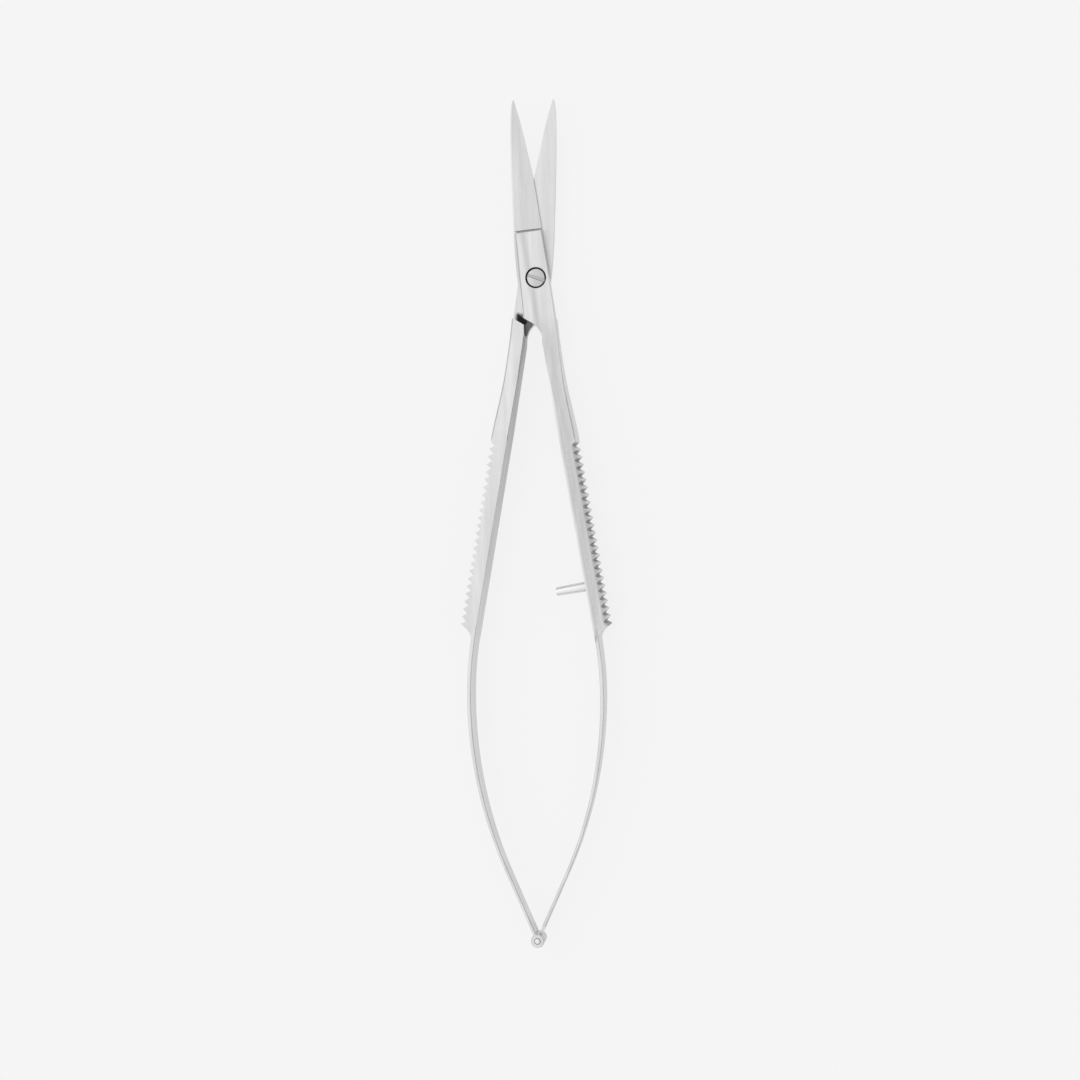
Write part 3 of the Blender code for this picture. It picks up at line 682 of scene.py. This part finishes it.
def blade_section(place, offset, sink=0.0):
    """One section of a blade, at a place along the closed arm."""
    inner = Vector((-table_value(BACK_CURVE, place), place))
    outer = Vector((table_value(EDGE_CURVE, place), place))
    high = tuple(max(ground_height(*point) - sink, GROUND_LEAST) for point in (inner, outer))
    ends = opened(inner, offset), opened(outer, offset)
    back = min(BLADE_ROUND, (outer - inner).length * BLADE_ROUND_SHARE)
    corners = (BLADE_LAP_ROUND, BLADE_LAP_ROUND, min(CUTTING_ROUND, back), back)
    return Section(*ends, LAP - LAP_WASTE, high, corners)


def blade_sections(offset):
    """Sections of the ground blade, from the ledge and its groove to the tip."""
    made = [blade_section(LEDGE + GROOVE_START, offset, GROOVE_DEPTH),
            blade_section(LEDGE + GROOVE_WIDTH, offset, GROOVE_DEPTH)]
    first = LEDGE + GROOVE_END
    last = BLADE_LENGTH - TIP_INSET
    for step in range(BLADE_STEPS + 1):
        made.append(blade_section(first + (last - first) * step / BLADE_STEPS, offset))
    return made


def forging(name, offset):
    """One arm with its leaf, drawn out ring by ring from the tail to the blade tip."""
    heel, heel_y = heel_sections(offset)
    sections = lower_leaf_sections() + upper_leaf_sections(heel_y) + heel
    sections += grip_sections(offset) + neck_sections(offset)
    sections += boss_sections(offset) + blade_sections(offset)
    return loft(name, [section.ring() for section in sections])


def prism(name, points, low, high):
    """A block with a drawn plan, extruded between two heights."""
    return loft(name, [[Vector((*point, height)) for point in points] for height in (low, high)])


def loft(name, rings):
    """A closed shape, extruded from ring to ring."""
    bpy.ops.object.select_all(action="DESELECT")
    bpy.ops.mesh.primitive_circle_add(vertices=len(rings[0]), fill_type="NGON")
    made = bpy.context.object
    made.name = name
    bpy.ops.object.mode_set(mode="EDIT")
    shape = bmesh.from_edit_mesh(made.data)
    shape.faces.ensure_lookup_table()
    place_ring(shape.faces[0], rings[0])
    for ring in rings[1:]:
        bpy.ops.mesh.extrude_region_move()
        shape = bmesh.from_edit_mesh(made.data)
        cap = next(face for face in shape.faces if face.select)
        place_ring(cap, ring)
    bpy.ops.mesh.select_all(action="SELECT")
    bpy.ops.mesh.normals_make_consistent(inside=False)
    bpy.ops.object.mode_set(mode="OBJECT")
    return made


def place_ring(face, ring):
    """Move the corners of a cap to a ring's points."""
    for loop, point in zip(face.loops, ring):
        loop.vert.co = (CENTRE + point) * MM


def rod(name, radius, low, high, centre):
    """A round bar along the depth of the part."""
    bpy.ops.object.select_all(action="DESELECT")
    middle = CENTRE + Vector((centre.x, centre.y, (low + high) / 2))
    bpy.ops.mesh.primitive_cylinder_add(
        vertices=ROD_SIDES, radius=radius * MM, depth=(high - low) * MM, location=middle * MM)
    bpy.context.object.name = name
    return bpy.context.object


def pick(piece):
    """Make a piece the active one, and select it alone."""
    bpy.ops.object.select_all(action="DESELECT")
    bpy.context.view_layer.objects.active = piece
    piece.select_set(True)


def combine(target, cutter, operation="DIFFERENCE"):
    """Cut a tool out of a piece or join it on, and put the tool away."""
    change = target.modifiers.new(cutter.name, "BOOLEAN")
    change.operation = operation
    change.object = cutter
    change.solver = "EXACT"
    pick(target)
    bpy.ops.object.modifier_apply(modifier=change.name)
    bpy.data.objects.remove(cutter)


def cut_lap(arm, offset):
    """Take away the lower half of the boss and blade, down to a shoulder clear of the foot."""
    start = SHOULDER_OUT + (SHOULDER_OUT - SHOULDER_IN).normalized() * BOSS_HALF_WIDTH
    left = -2 * BOSS_HALF_WIDTH
    top = BLADE_LENGTH + CUT_SPARE
    points = [start, SHOULDER_OUT, SHOULDER_IN, SHOULDER_SIDE, SHOULDER_END]
    points += [Vector((left, SHOULDER_END.y)), Vector((left, top)), Vector((start.x, top))]
    combine(arm, prism("lap", [opened(point, offset) for point in points], -CUT_REACH, LAP))


def shade(piece):
    """Smooth a piece, with an edge kept wherever its faces meet sharply."""
    pick(piece)
    bpy.ops.object.shade_smooth_by_angle(angle=SMOOTH_ANGLE)


def settle(piece):
    """Leave a piece's object at the origin, unturned and unscaled, with its place in its mesh."""
    pick(piece)
    bpy.ops.object.transform_apply(location=True, rotation=True, scale=True)


def turn_over(piece):
    """Turn a piece half a turn about the part's centre line, onto the other arm."""
    piece.matrix_world = TURN_OVER @ piece.matrix_world
    settle(piece)


def turned(name, profile, matrix, sides=TURNED_SIDES):
    """A turned piece: a line of radii and heights, spun about its axis and placed."""
    bpy.ops.object.select_all(action="DESELECT")
    bpy.ops.mesh.primitive_circle_add(vertices=3)
    made = bpy.context.object
    made.name = name
    bpy.ops.object.mode_set(mode="EDIT")
    shape = bmesh.from_edit_mesh(made.data)
    corners = list(shape.verts)
    for corner, (radius, height) in zip(corners, profile):
        corner.co = Vector((radius, 0, height)) * MM
    closing = next(edge for edge in shape.edges if set(edge.verts) == {corners[2], corners[0]})
    shape.edges.remove(closing)
    bpy.ops.mesh.select_all(action="DESELECT")
    corners[2].select = True
    shape.select_flush_mode()
    bmesh.update_edit_mesh(made.data)
    for before, after in zip(profile[2:], profile[3:]):
        step = Vector((after[0] - before[0], 0, after[1] - before[1])) * MM
        bpy.ops.mesh.extrude_region_move(TRANSFORM_OT_translate={"value": step})
    bpy.ops.mesh.select_all(action="SELECT")
    bpy.ops.mesh.spin(steps=sides, angle=math.tau, center=(0, 0, 0), axis=(0, 0, 1))
    bpy.ops.mesh.select_all(action="SELECT")
    bpy.ops.mesh.remove_doubles(threshold=WELD_DISTANCE * MM)
    bpy.ops.mesh.normals_make_consistent(inside=False)
    bpy.ops.object.mode_set(mode="OBJECT")
    made.matrix_world = Matrix.Translation(CENTRE * MM) @ matrix
    settle(made)
    return made


def at(x, y):
    """Matrix that places a piece at a point in plan, measured from the middle of the pivot."""
    return Matrix.Translation(Vector((x, y, 0)) * MM)


def screw_seat(arm):
    """Bore the front boss for the screw, with a chamfer round the mouth of its counterbore."""
    floor = SCREW_TOP - SCREW_HEAD_DEPTH - SCREW_FIT
    reach = COUNTERBORE_RADIUS + COUNTERBORE_CHAMFER + CUT_SPARE
    beyond = BOSS_HALF_DEPTH + CUT_SPARE
    profile = [(0, beyond), (reach, beyond),
               (COUNTERBORE_RADIUS, BOSS_HALF_DEPTH - COUNTERBORE_CHAMFER),
               (COUNTERBORE_RADIUS, floor), (SHANK_RADIUS + SCREW_FIT, floor),
               (SHANK_RADIUS + SCREW_FIT, -beyond), (0, -beyond)]
    combine(arm, turned("screw_seat", profile, at(PIVOT_OFFSET, 0)))


def knuckles(arm, barrels, notches, play):
    """Notch the end of a leaf, join its barrels on and bore them for the tail pin."""
    for low, high in notches:
        combine(arm, rod("notch", NOTCH_RADIUS, low, high, TAIL))
    for low, high in barrels:
        profile = [(0, high), (KNUCKLE_RADIUS - KNUCKLE_CHAMFER, high),
                   (KNUCKLE_RADIUS, high - KNUCKLE_CHAMFER),
                   (KNUCKLE_RADIUS, low + KNUCKLE_CHAMFER),
                   (KNUCKLE_RADIUS - KNUCKLE_CHAMFER, low), (0, low)]
        combine(arm, turned("barrel", profile, at(TAIL.x, TAIL.y)), "UNION")
    combine(arm, rod("pin_hole", TAIL_PIN_RADIUS + play, -CUT_REACH, CUT_REACH, TAIL))


def pin_axis():
    """Matrix whose Z runs out of the inner face of the front grip, along the stop pin."""
    root = opened(handle_inner(PIN_STATION), PIVOT_OFFSET)
    out = (-toward(LEAF_START_ANGLE)).to_3d()
    turn = out.to_track_quat("Z", "Y").to_matrix().to_4x4()
    return at(root.x, root.y) @ turn


def front_forging():
    """Front arm and leaf: left blade, boss with the screw's seat, and right handle."""
    made = forging("front_forging", PIVOT_OFFSET)
    cut_lap(made, PIVOT_OFFSET)
    screw_seat(made)
    bore = [(0, CUT_SPARE), (PIN_ROOT_RADIUS, CUT_SPARE),
            (PIN_ROOT_RADIUS, -PIN_SEAT), (0, -PIN_SEAT)]
    combine(made, turned("pin_bore", bore, pin_axis()))
    beside = KNUCKLE_HALF_DEPTH - NOTCH_EXTRA
    notches = [(beside, CUT_REACH), (-CUT_REACH, -beside)]
    knuckles(made, [(-KNUCKLE_HALF_DEPTH, KNUCKLE_HALF_DEPTH)], notches, TAIL_PIN_PLAY)
    return made


def back_forging():
    """Back arm and leaf: the front ones turned over, bored for the end of the screw."""
    made = forging("back_forging", -PIVOT_OFFSET)
    cut_lap(made, -PIVOT_OFFSET)
    hole = Vector((-PIVOT_OFFSET, 0))
    combine(made, rod("thread_hole", SHANK_RADIUS + SCREW_FIT, -CUT_REACH, CUT_REACH, hole))
    inside = KNUCKLE_HALF_DEPTH + KNUCKLE_GAP
    barrels = [(inside, TAIL_HALF_DEPTH), (-TAIL_HALF_DEPTH, -inside)]
    between = inside + NOTCH_EXTRA
    knuckles(made, barrels, [(-between, between)], TAIL_PIN_FIT)
    turn_over(made)
    return made


def dome(radius, top, height, shares):
    """Profile of a low dome, from its middle out to its rim."""
    inside = [(radius * out, top - height * down) for out, down in shares]
    return [(0, top)] + inside + [(radius, top - height)]


def pivot_screw():
    """Slotted screw: a shallow domed head, and a shank that ends just inside the back boss."""
    seat = SCREW_TOP - SCREW_HEAD_DEPTH
    end = SCREW_FIT - BOSS_HALF_DEPTH
    flat = SCREW_HEAD_RADIUS - SCREW_CHAMFER
    profile = dome(flat, SCREW_TOP, SCREW_DOME, SCREW_DOME_SHARES)
    profile += [(SCREW_HEAD_RADIUS, SCREW_TOP - SCREW_DOME - SCREW_CHAMFER),
                (SCREW_HEAD_RADIUS, seat), (SHANK_RADIUS, seat),
                (SHANK_RADIUS, end + SCREW_CHAMFER), (SHANK_RADIUS - SCREW_CHAMFER, end),
                (0, end)]
    made = turned("pivot_screw_head", profile, at(PIVOT_OFFSET, 0), SCREW_SIDES)
    half = Vector((SCREW_HEAD_RADIUS + SLOT_SPARE, SLOT_WIDTH / 2))
    turn = Matrix.Rotation(SLOT_ANGLE, 2)
    corners = [Vector((x * half.x, y * half.y)) for x, y in ((-1, -1), (1, -1), (1, 1), (-1, 1))]
    slot = [SCREW_PLACE + turn @ corner for corner in corners]
    combine(made, prism("slot", slot, SCREW_TOP - SLOT_DEPTH, SCREW_TOP + CUT_SPARE))
    return made


def stop_pin():
    """Tapered pin with a rounded tip, pressed into the inner face of the front grip."""
    reach = handle_inner(PIN_STATION).x * 2 * math.cos(HANDLE_LEAN) / math.cos(2 * HANDLE_LEAN)
    length = reach - PIN_TIP_CLEARANCE
    rounded = PIN_CHAMFER * PIN_CHAMFER_SHARE
    profile = [(0, length), (PIN_TIP_RADIUS - PIN_CHAMFER, length),
               (PIN_TIP_RADIUS - rounded, length - rounded),
               (PIN_TIP_RADIUS, length - PIN_CHAMFER), (PIN_ROOT_RADIUS, 0),
               (PIN_ROOT_RADIUS, -PIN_SEAT), (0, -PIN_SEAT)]
    return turned("tapered_stop_pin", profile, pin_axis())


def tail_pin():
    """Pin of the tail hinge, with low domed ends."""
    top = TAIL_HALF_DEPTH + TAIL_PIN_DOME
    side = dome(TAIL_PIN_RADIUS, top, TAIL_PIN_DOME, TAIL_PIN_DOME_SHARES)
    profile = side + [(radius, -height) for radius, height in reversed(side)]
    return turned("domed_tail_pin", profile, at(TAIL.x, TAIL.y))


class Value:
    """A number or colour in a finish; arithmetic on it adds Math nodes."""

    def __init__(self, finish, socket):
        self.finish = finish
        self.socket = socket

    def combined(self, operation, *values):
        return self.finish.node("ShaderNodeMath", {"operation": operation}, values)

    def __add__(self, other):
        return self.combined("ADD", self, other)

    def __radd__(self, other):
        return self.combined("ADD", other, self)

    def __sub__(self, other):
        return self.combined("SUBTRACT", self, other)

    def __rsub__(self, other):
        return self.combined("SUBTRACT", other, self)

    def __mul__(self, other):
        return self.combined("MULTIPLY", self, other)

    def __rmul__(self, other):
        return self.combined("MULTIPLY", other, self)

    def __abs__(self):
        return self.combined("ABSOLUTE", self)


class Finish:
    """A material, with its nodes added one by one."""

    def __init__(self, name, tree=None):
        if tree is None:
            self.material = bpy.data.materials.new(name)
            self.material.use_nodes = True
            tree = self.material.node_tree
        self.tree = tree
        self.tree.nodes.clear()

    def node(self, kind, settings=None, values=None, output=0):
        """Add a node with its settings and socket values or links, and return an output."""
        made = self.tree.nodes.new(kind)
        for name, setting in (settings or {}).items():
            if name == "stops":
                set_stops(made.color_ramp.elements, setting)
            else:
                setattr(made, name, setting)
        pairs = values.items() if isinstance(values, dict) else enumerate(values or ())
        for socket, value in pairs:
            if isinstance(value, Value):
                self.tree.links.new(value.socket, made.inputs[socket])
            else:
                made.inputs[socket].default_value = value
        return Value(self, made.outputs[output]) if made.outputs else None


def set_stops(marks, stops):
    """Give a colour ramp its stops, each a position and a colour."""
    while len(marks) < len(stops):
        marks.new(1.0)
    for mark, (position, colour) in zip(marks, stops):
        mark.position = position
        mark.color = (*colour, 1)


def distance_to(finish, place, start, end):
    """Distance in plan from a point to a straight line between two places."""
    line = (end - start).to_3d()
    reach = finish.node("ShaderNodeVectorMath", {"operation": "SUBTRACT"}, (place, start.to_3d()))
    along = finish.node("ShaderNodeVectorMath", {"operation": "DOT_PRODUCT"},
                        (reach, line / line.length_squared), output="Value")
    share = finish.node("ShaderNodeClamp", {}, (along, 0.0, 1.0))
    foot = finish.node("ShaderNodeVectorMath", {"operation": "SCALE"},
                       {"Vector": line, "Scale": share})
    apart = finish.node("ShaderNodeVectorMath", {"operation": "SUBTRACT"}, (reach, foot))
    return finish.node("ShaderNodeVectorMath", {"operation": "LENGTH"}, (apart,), output="Value")


def most(first, *others):
    """The largest of several values."""
    for other in others:
        first = first.combined("MAXIMUM", first, other)
    return first


def fade(finish, value, full, none):
    """1 up to one value and 0 past another, with a smooth step between."""
    return finish.node("ShaderNodeMapRange", {"interpolation_type": "SMOOTHSTEP"}, {
        "Value": value, "From Min": full, "From Max": none, "To Min": 1.0, "To Max": 0.0})


def measured(finish):
    """Object coordinates in millimetres from the middle of the pivot joint, one by one."""
    place = finish.node("ShaderNodeTexCoord", output="Object")
    local = finish.node("ShaderNodeMapping", {}, {
        "Vector": place, "Scale": (1 / MM,) * 3, "Location": -CENTRE})
    return [finish.node("ShaderNodeSeparateXYZ", {}, (local,), output=axis) for axis in "XYZ"]


def in_plan(finish, x, y):
    """A place in plan, from its two coordinates."""
    return finish.node("ShaderNodeCombineXYZ", {}, (x, y, 0.0))


def from_screw(finish, plan):
    """Distance in plan from the middle of the screw."""
    return finish.node("ShaderNodeVectorMath", {"operation": "DISTANCE"},
                       (plan, SCREW_PLACE.to_3d()), output="Value")


def painted_forging_shade(finish):
    """Painted shade of a forging: dark in its notches and gaps, and faintly on the faces that
    lean.
    """
    x, y, z = measured(finish)
    height = abs(z)
    out = abs(x)
    turned_x = x * x.combined("SIGN", z)
    either = in_plan(finish, out, y)
    folded = in_plan(finish, turned_x, y)

    # Painted shadow in the notch behind the boss foot, and painted shade in the crotch beside it
    side = most(fade(finish, turned_x, *SIDE_FADE), fade(finish, height, *MIDDLE_FADE))
    side = side * fade(finish, out, *HANDLE_FADE)
    notch = side * fade(finish, distance_to(finish, either, NOTCH_OUT, NOTCH_MIDDLE), *NOTCH_FADE)
    walls = notch * fade(finish, height, *WALL_FADE)
    crotch = fade(finish, distance_to(finish, either, NOTCH_MIDDLE, NOTCH_IN), *CROTCH_FADE)
    crotch = crotch * (1 - fade(finish, y, CROTCH_LOW - CROTCH_RUN, CROTCH_LOW))
    lap = crotch * fade(finish, height, *LAP_FADE) * CROTCH_DARK

    # Painted shade along the ledge, in the valleys between the teeth and in the gap round the
    # screw
    line = fade(finish, distance_to(finish, folded, LEDGE_IN, LEDGE_OUT), *LEDGE_FADE)
    ledge = line * (1 - fade(finish, height, *LEDGE_WALL_FADE)) * LEDGE_DARK
    inward = distance_to(finish, either, PEAKS_TOP, PEAKS_LOW)
    valleys = 1 - fade(finish, inward, *VALLEY_ROOT_FADE)
    valleys = valleys * fade(finish, inward, *VALLEY_PEAK_FADE)
    teeth = valleys * fade(finish, height, *VALLEY_FACE_FADE) * VALLEY_DARK
    ring = fade(finish, from_screw(finish, in_plan(finish, x, y)), *RING_FADE)
    ring = ring * (1 - fade(finish, z, *RING_FLOOR_FADE)) * RING_DARK

    # Painted shade on the inner flank and inner facet of the handle, below and above the rim of
    # its side
    rim = x.combined("MINIMUM", y * -FLANK_RISE + FLANK_BASE, GRIP_HALF_DEPTH)
    below_rim = fade(finish, height - rim, *RIM_FADE)
    flank = fade(finish, distance_to(finish, either, NOTCH_IN, FLANK_LOW), *FLANK_FADE)
    flank = flank * below_rim * fade(finish, y, *FLANK_RUN) * FLANK_DARK
    within = distance_to(finish, folded, FACET_TOP, FLANK_LOW)
    facet = (1 - fade(finish, within, *FACET_NEAR_FADE)) * fade(finish, within, *FACET_FAR_FADE)
    facet = facet * (1 - below_rim) * fade(finish, y, *FACET_RUN) * FACET_DARK

    # Painted dark reflection streak over the boss, and painted shade in the crease of its bevel
    raised = 1 - fade(finish, height, *LAP_TOP_FADE)
    streak = fade(finish, distance_to(finish, folded, STREAK_TOP, STREAK_LOW), *STREAK_FADE)
    crease = fade(finish, distance_to(finish, folded, CREASE_TOP, CREASE_LOW), *CREASE_FADE)
    boss = raised * most(streak * BOSS_STREAK_DARK, crease * CREASE_DARK)
    return most(walls, lap, ledge, ring, teeth, flank, facet, boss)


def grey(level, warmth=0.0):
    """A steel grey, a little warmer or cooler."""
    return (level * (1 + warmth), level, level * (1 - warmth))


def streaks(finish, place):
    """Soft broad streaks of polish that run along a piece."""
    drawn = finish.node("ShaderNodeMapping", {}, {"Vector": place, "Scale": STREAK_STRETCH})
    return finish.node("ShaderNodeTexNoise", {}, {
        "Vector": drawn, "Scale": STREAK_SCALE, "Detail": 2.0, "Distortion": 0.3})


def screw_painted_shade(finish):
    """Painted shade on the screw: dark round its rim and down in its slot."""
    x, y, z = measured(finish)
    plan = in_plan(finish, x, y)
    rim = (1 - fade(finish, from_screw(finish, plan), *SCREW_RIM_FADE)) * RING_DARK
    edge = fade(finish, distance_to(finish, plan, SLOT_LEFT, SLOT_RIGHT), *SLOT_EDGE_FADE)
    return most(rim, (edge * SLOT_EDGE_DARK + SLOT_DARK) * fade(finish, z, *SLOT_FADE))


def steel(name, tone, roughness, grain, scratches, painted_shade=None):
    """Satin steel: cloudy tone and gloss, with a fine grain that runs along the piece, and
    painted shade where a mask for it is given.
    """
    finish = Finish(name)
    place = finish.node("ShaderNodeTexCoord", output="Object")
    drawn = finish.node("ShaderNodeMapping", {}, {"Vector": place, "Scale": GRAIN_STRETCH})
    lines = finish.node("ShaderNodeTexNoise", {}, {
        "Vector": drawn, "Scale": grain, "Detail": 4.0, "Roughness": 0.65})
    cloud = finish.node("ShaderNodeTexNoise", {}, {
        "Vector": place, "Scale": CLOUD_SCALE, "Detail": 3.0})
    fine = finish.node("ShaderNodeTexNoise", {}, {
        "Vector": place, "Scale": FINE_SCALE, "Detail": 2.0})
    mixed = lines * GRAIN_SHARE + cloud * (1 - GRAIN_SHARE)
    shades = [(0.25, grey(tone * DULL_TONE)), (0.75, grey(tone * BRIGHT_TONE, BRIGHT_WARMTH))]
    colour = finish.node("ShaderNodeValToRGB", {"stops": shades}, (mixed,))
    gloss = lines * GRAIN_GLOSS + cloud * CLOUD_GLOSS + (roughness - GLOSS_MIDDLE)
    if painted_shade:
        shine = (streaks(finish, place) - 0.5) * STREAK_DEPTH + 1
        colour = finish.node("ShaderNodeVectorMath", {"operation": "SCALE"},
                             {"Vector": colour, "Scale": shine})
        # Painted shade: the colour is mixed toward near-black where the mask is strong, and made
        # rougher there
        dark = painted_shade(finish)
        colour = finish.node("ShaderNodeMix", {"data_type": "RGBA"}, {
            MIX_FACTOR: dark, MIX_FIRST: colour, MIX_SECOND: (*grey(PAINTED_SHADE_TONE), 1)},
            output=MIX_RESULT)
        gloss = gloss + dark * RECESS_DULLNESS
    height = lines * GRAIN_SHARE + fine * (1 - GRAIN_SHARE)
    bump = finish.node("ShaderNodeBump", {}, {
        "Strength": scratches, "Distance": SCRATCH_HEIGHT, "Height": height})
    shader = finish.node("ShaderNodeBsdfPrincipled", {}, {
        "Base Color": colour, "Metallic": 1.0, "Roughness": gloss, "Normal": bump})
    finish.node("ShaderNodeOutputMaterial", {}, {"Surface": shader})
    return finish.material


def shown_background(finish):
    """1 for rays that look at the background, directly, by a reflection or through glass."""
    rays = [finish.node("ShaderNodeLightPath", output=name)
            for name in ("Is Camera Ray", "Is Glossy Ray", "Is Transmission Ray")]
    return rays[0] + rays[1] + rays[2]


def floor():
    """Plain pale floor that keeps a soft shadow of the part."""
    bpy.ops.object.select_all(action="DESELECT")
    bpy.ops.mesh.primitive_plane_add(size=FLOOR_SIZE * MM)
    made = bpy.context.object
    made.name = "floor"
    finish = Finish("pale_floor")
    card = finish.node("ShaderNodeBsdfDiffuse", {}, {"Color": (*BACKDROP, 1)})
    glow = finish.node("ShaderNodeEmission", {}, {"Color": (*BACKDROP, 1), "Strength": 1.0})
    share = shown_background(finish) * FLOOR_GLOW
    surface = finish.node("ShaderNodeMixShader", {}, (share, card, glow))
    finish.node("ShaderNodeOutputMaterial", {}, {"Surface": surface})
    made.data.materials.append(finish.material)


def sky():
    """Soft light from all round, stronger on the left and dark close to the horizon."""
    world = bpy.data.worlds.new("studio")
    bpy.context.scene.world = world
    world.use_nodes = True
    finish = Finish("studio", world.node_tree)
    place = finish.node("ShaderNodeTexCoord", output="Generated")
    across = finish.node("ShaderNodeSeparateXYZ", {}, (place,), output="X")
    up = finish.node("ShaderNodeSeparateXYZ", {}, (place,), output="Z")
    lift = finish.node("ShaderNodeValToRGB", {"stops": SKY_STOPS}, (up,))
    strength = across * -SKY_SLOPE + SKY_LEVEL
    light = finish.node("ShaderNodeBackground", {}, {"Color": lift, "Strength": strength})
    shown = finish.node("ShaderNodeBackground", {}, {"Color": (*BACKDROP, 1), "Strength": 1.0})
    seen = finish.node("ShaderNodeLightPath", output="Is Camera Ray")
    surface = finish.node("ShaderNodeMixShader", {}, (seen, light, shown))
    finish.node("ShaderNodeOutputWorld", {}, {"Surface": surface})


def softbox():
    """Square lamp over the part, turned to its middle, with an even brightness."""
    place = Vector(LAMP_PLACE)
    side = LAMP_SIZE * MM
    bpy.ops.object.light_add(type="AREA", location=place * MM)
    lamp = bpy.context.object
    lamp.name = "overhead"
    lamp.data.shape = "SQUARE"
    lamp.data.size = side
    lamp.data.energy = LAMP_LEVEL * math.pi * side * side
    lamp.rotation_mode = "QUATERNION"
    lamp.rotation_quaternion = (-place).to_track_quat("-Z", "Y")


def camera():
    """Camera over the part, tilted and rolled a little, at the photograph's distance."""
    sight = Vector((math.sin(TILT) * math.cos(PITCH), math.sin(PITCH),
                    math.cos(TILT) * math.cos(PITCH)))
    level_right = Vector((0, 1, 0)).cross(sight).normalized()
    level_up = sight.cross(level_right)
    right = math.cos(ROLL) * level_right + math.sin(ROLL) * level_up
    up = math.cos(ROLL) * level_up - math.sin(ROLL) * level_right
    aim = Vector((0, 0, PIVOT.z)) + AIM_RIGHT * right + AIM_UP * up
    bpy.ops.object.camera_add()
    made = bpy.context.object
    made.name = "camera"
    made.matrix_world = Matrix.LocRotScale(
        (aim + DISTANCE * sight) * MM, Matrix((right, up, sight)).transposed(), None)
    made.data.sensor_width = SENSOR
    made.data.lens = SENSOR * DISTANCE * PIXELS_PER_MM / FRAME_PIXELS
    made.data.clip_start = CLIP_START * MM
    made.data.clip_end = CLIP_END * MM
    bpy.context.scene.camera = made


front = front_forging()
back = back_forging()
screw = pivot_screw()
stop = stop_pin()
tail = tail_pin()
satin = steel(
    "satin_steel", tone=0.69, roughness=0.34, grain=5200.0, scratches=0.35, painted_shade=painted_forging_shade)
bright = steel("pin_steel", tone=0.8, roughness=0.44, grain=5200.0, scratches=0.2)
dull = steel(
    "screw_steel", tone=0.56, roughness=0.36, grain=6000.0, scratches=0.5, painted_shade=screw_painted_shade)
for piece, finish in (
        (front, satin), (back, satin), (screw, dull), (stop, bright), (tail, bright)):
    shade(piece)
    piece.data.materials.clear()
    piece.data.materials.append(finish)

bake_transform(front)
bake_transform(back)
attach(screw, "back_arm")
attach(stop, "front_arm")
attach(tail, "back_leaf")
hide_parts("front_arm", "front_leaf")
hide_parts("back_arm", "back_leaf")
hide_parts("pivot_screw")
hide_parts("stop_pin")
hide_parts("tail_pin")

floor()
sky()
softbox()
camera()
bpy.context.scene.view_settings.view_transform = "Standard"
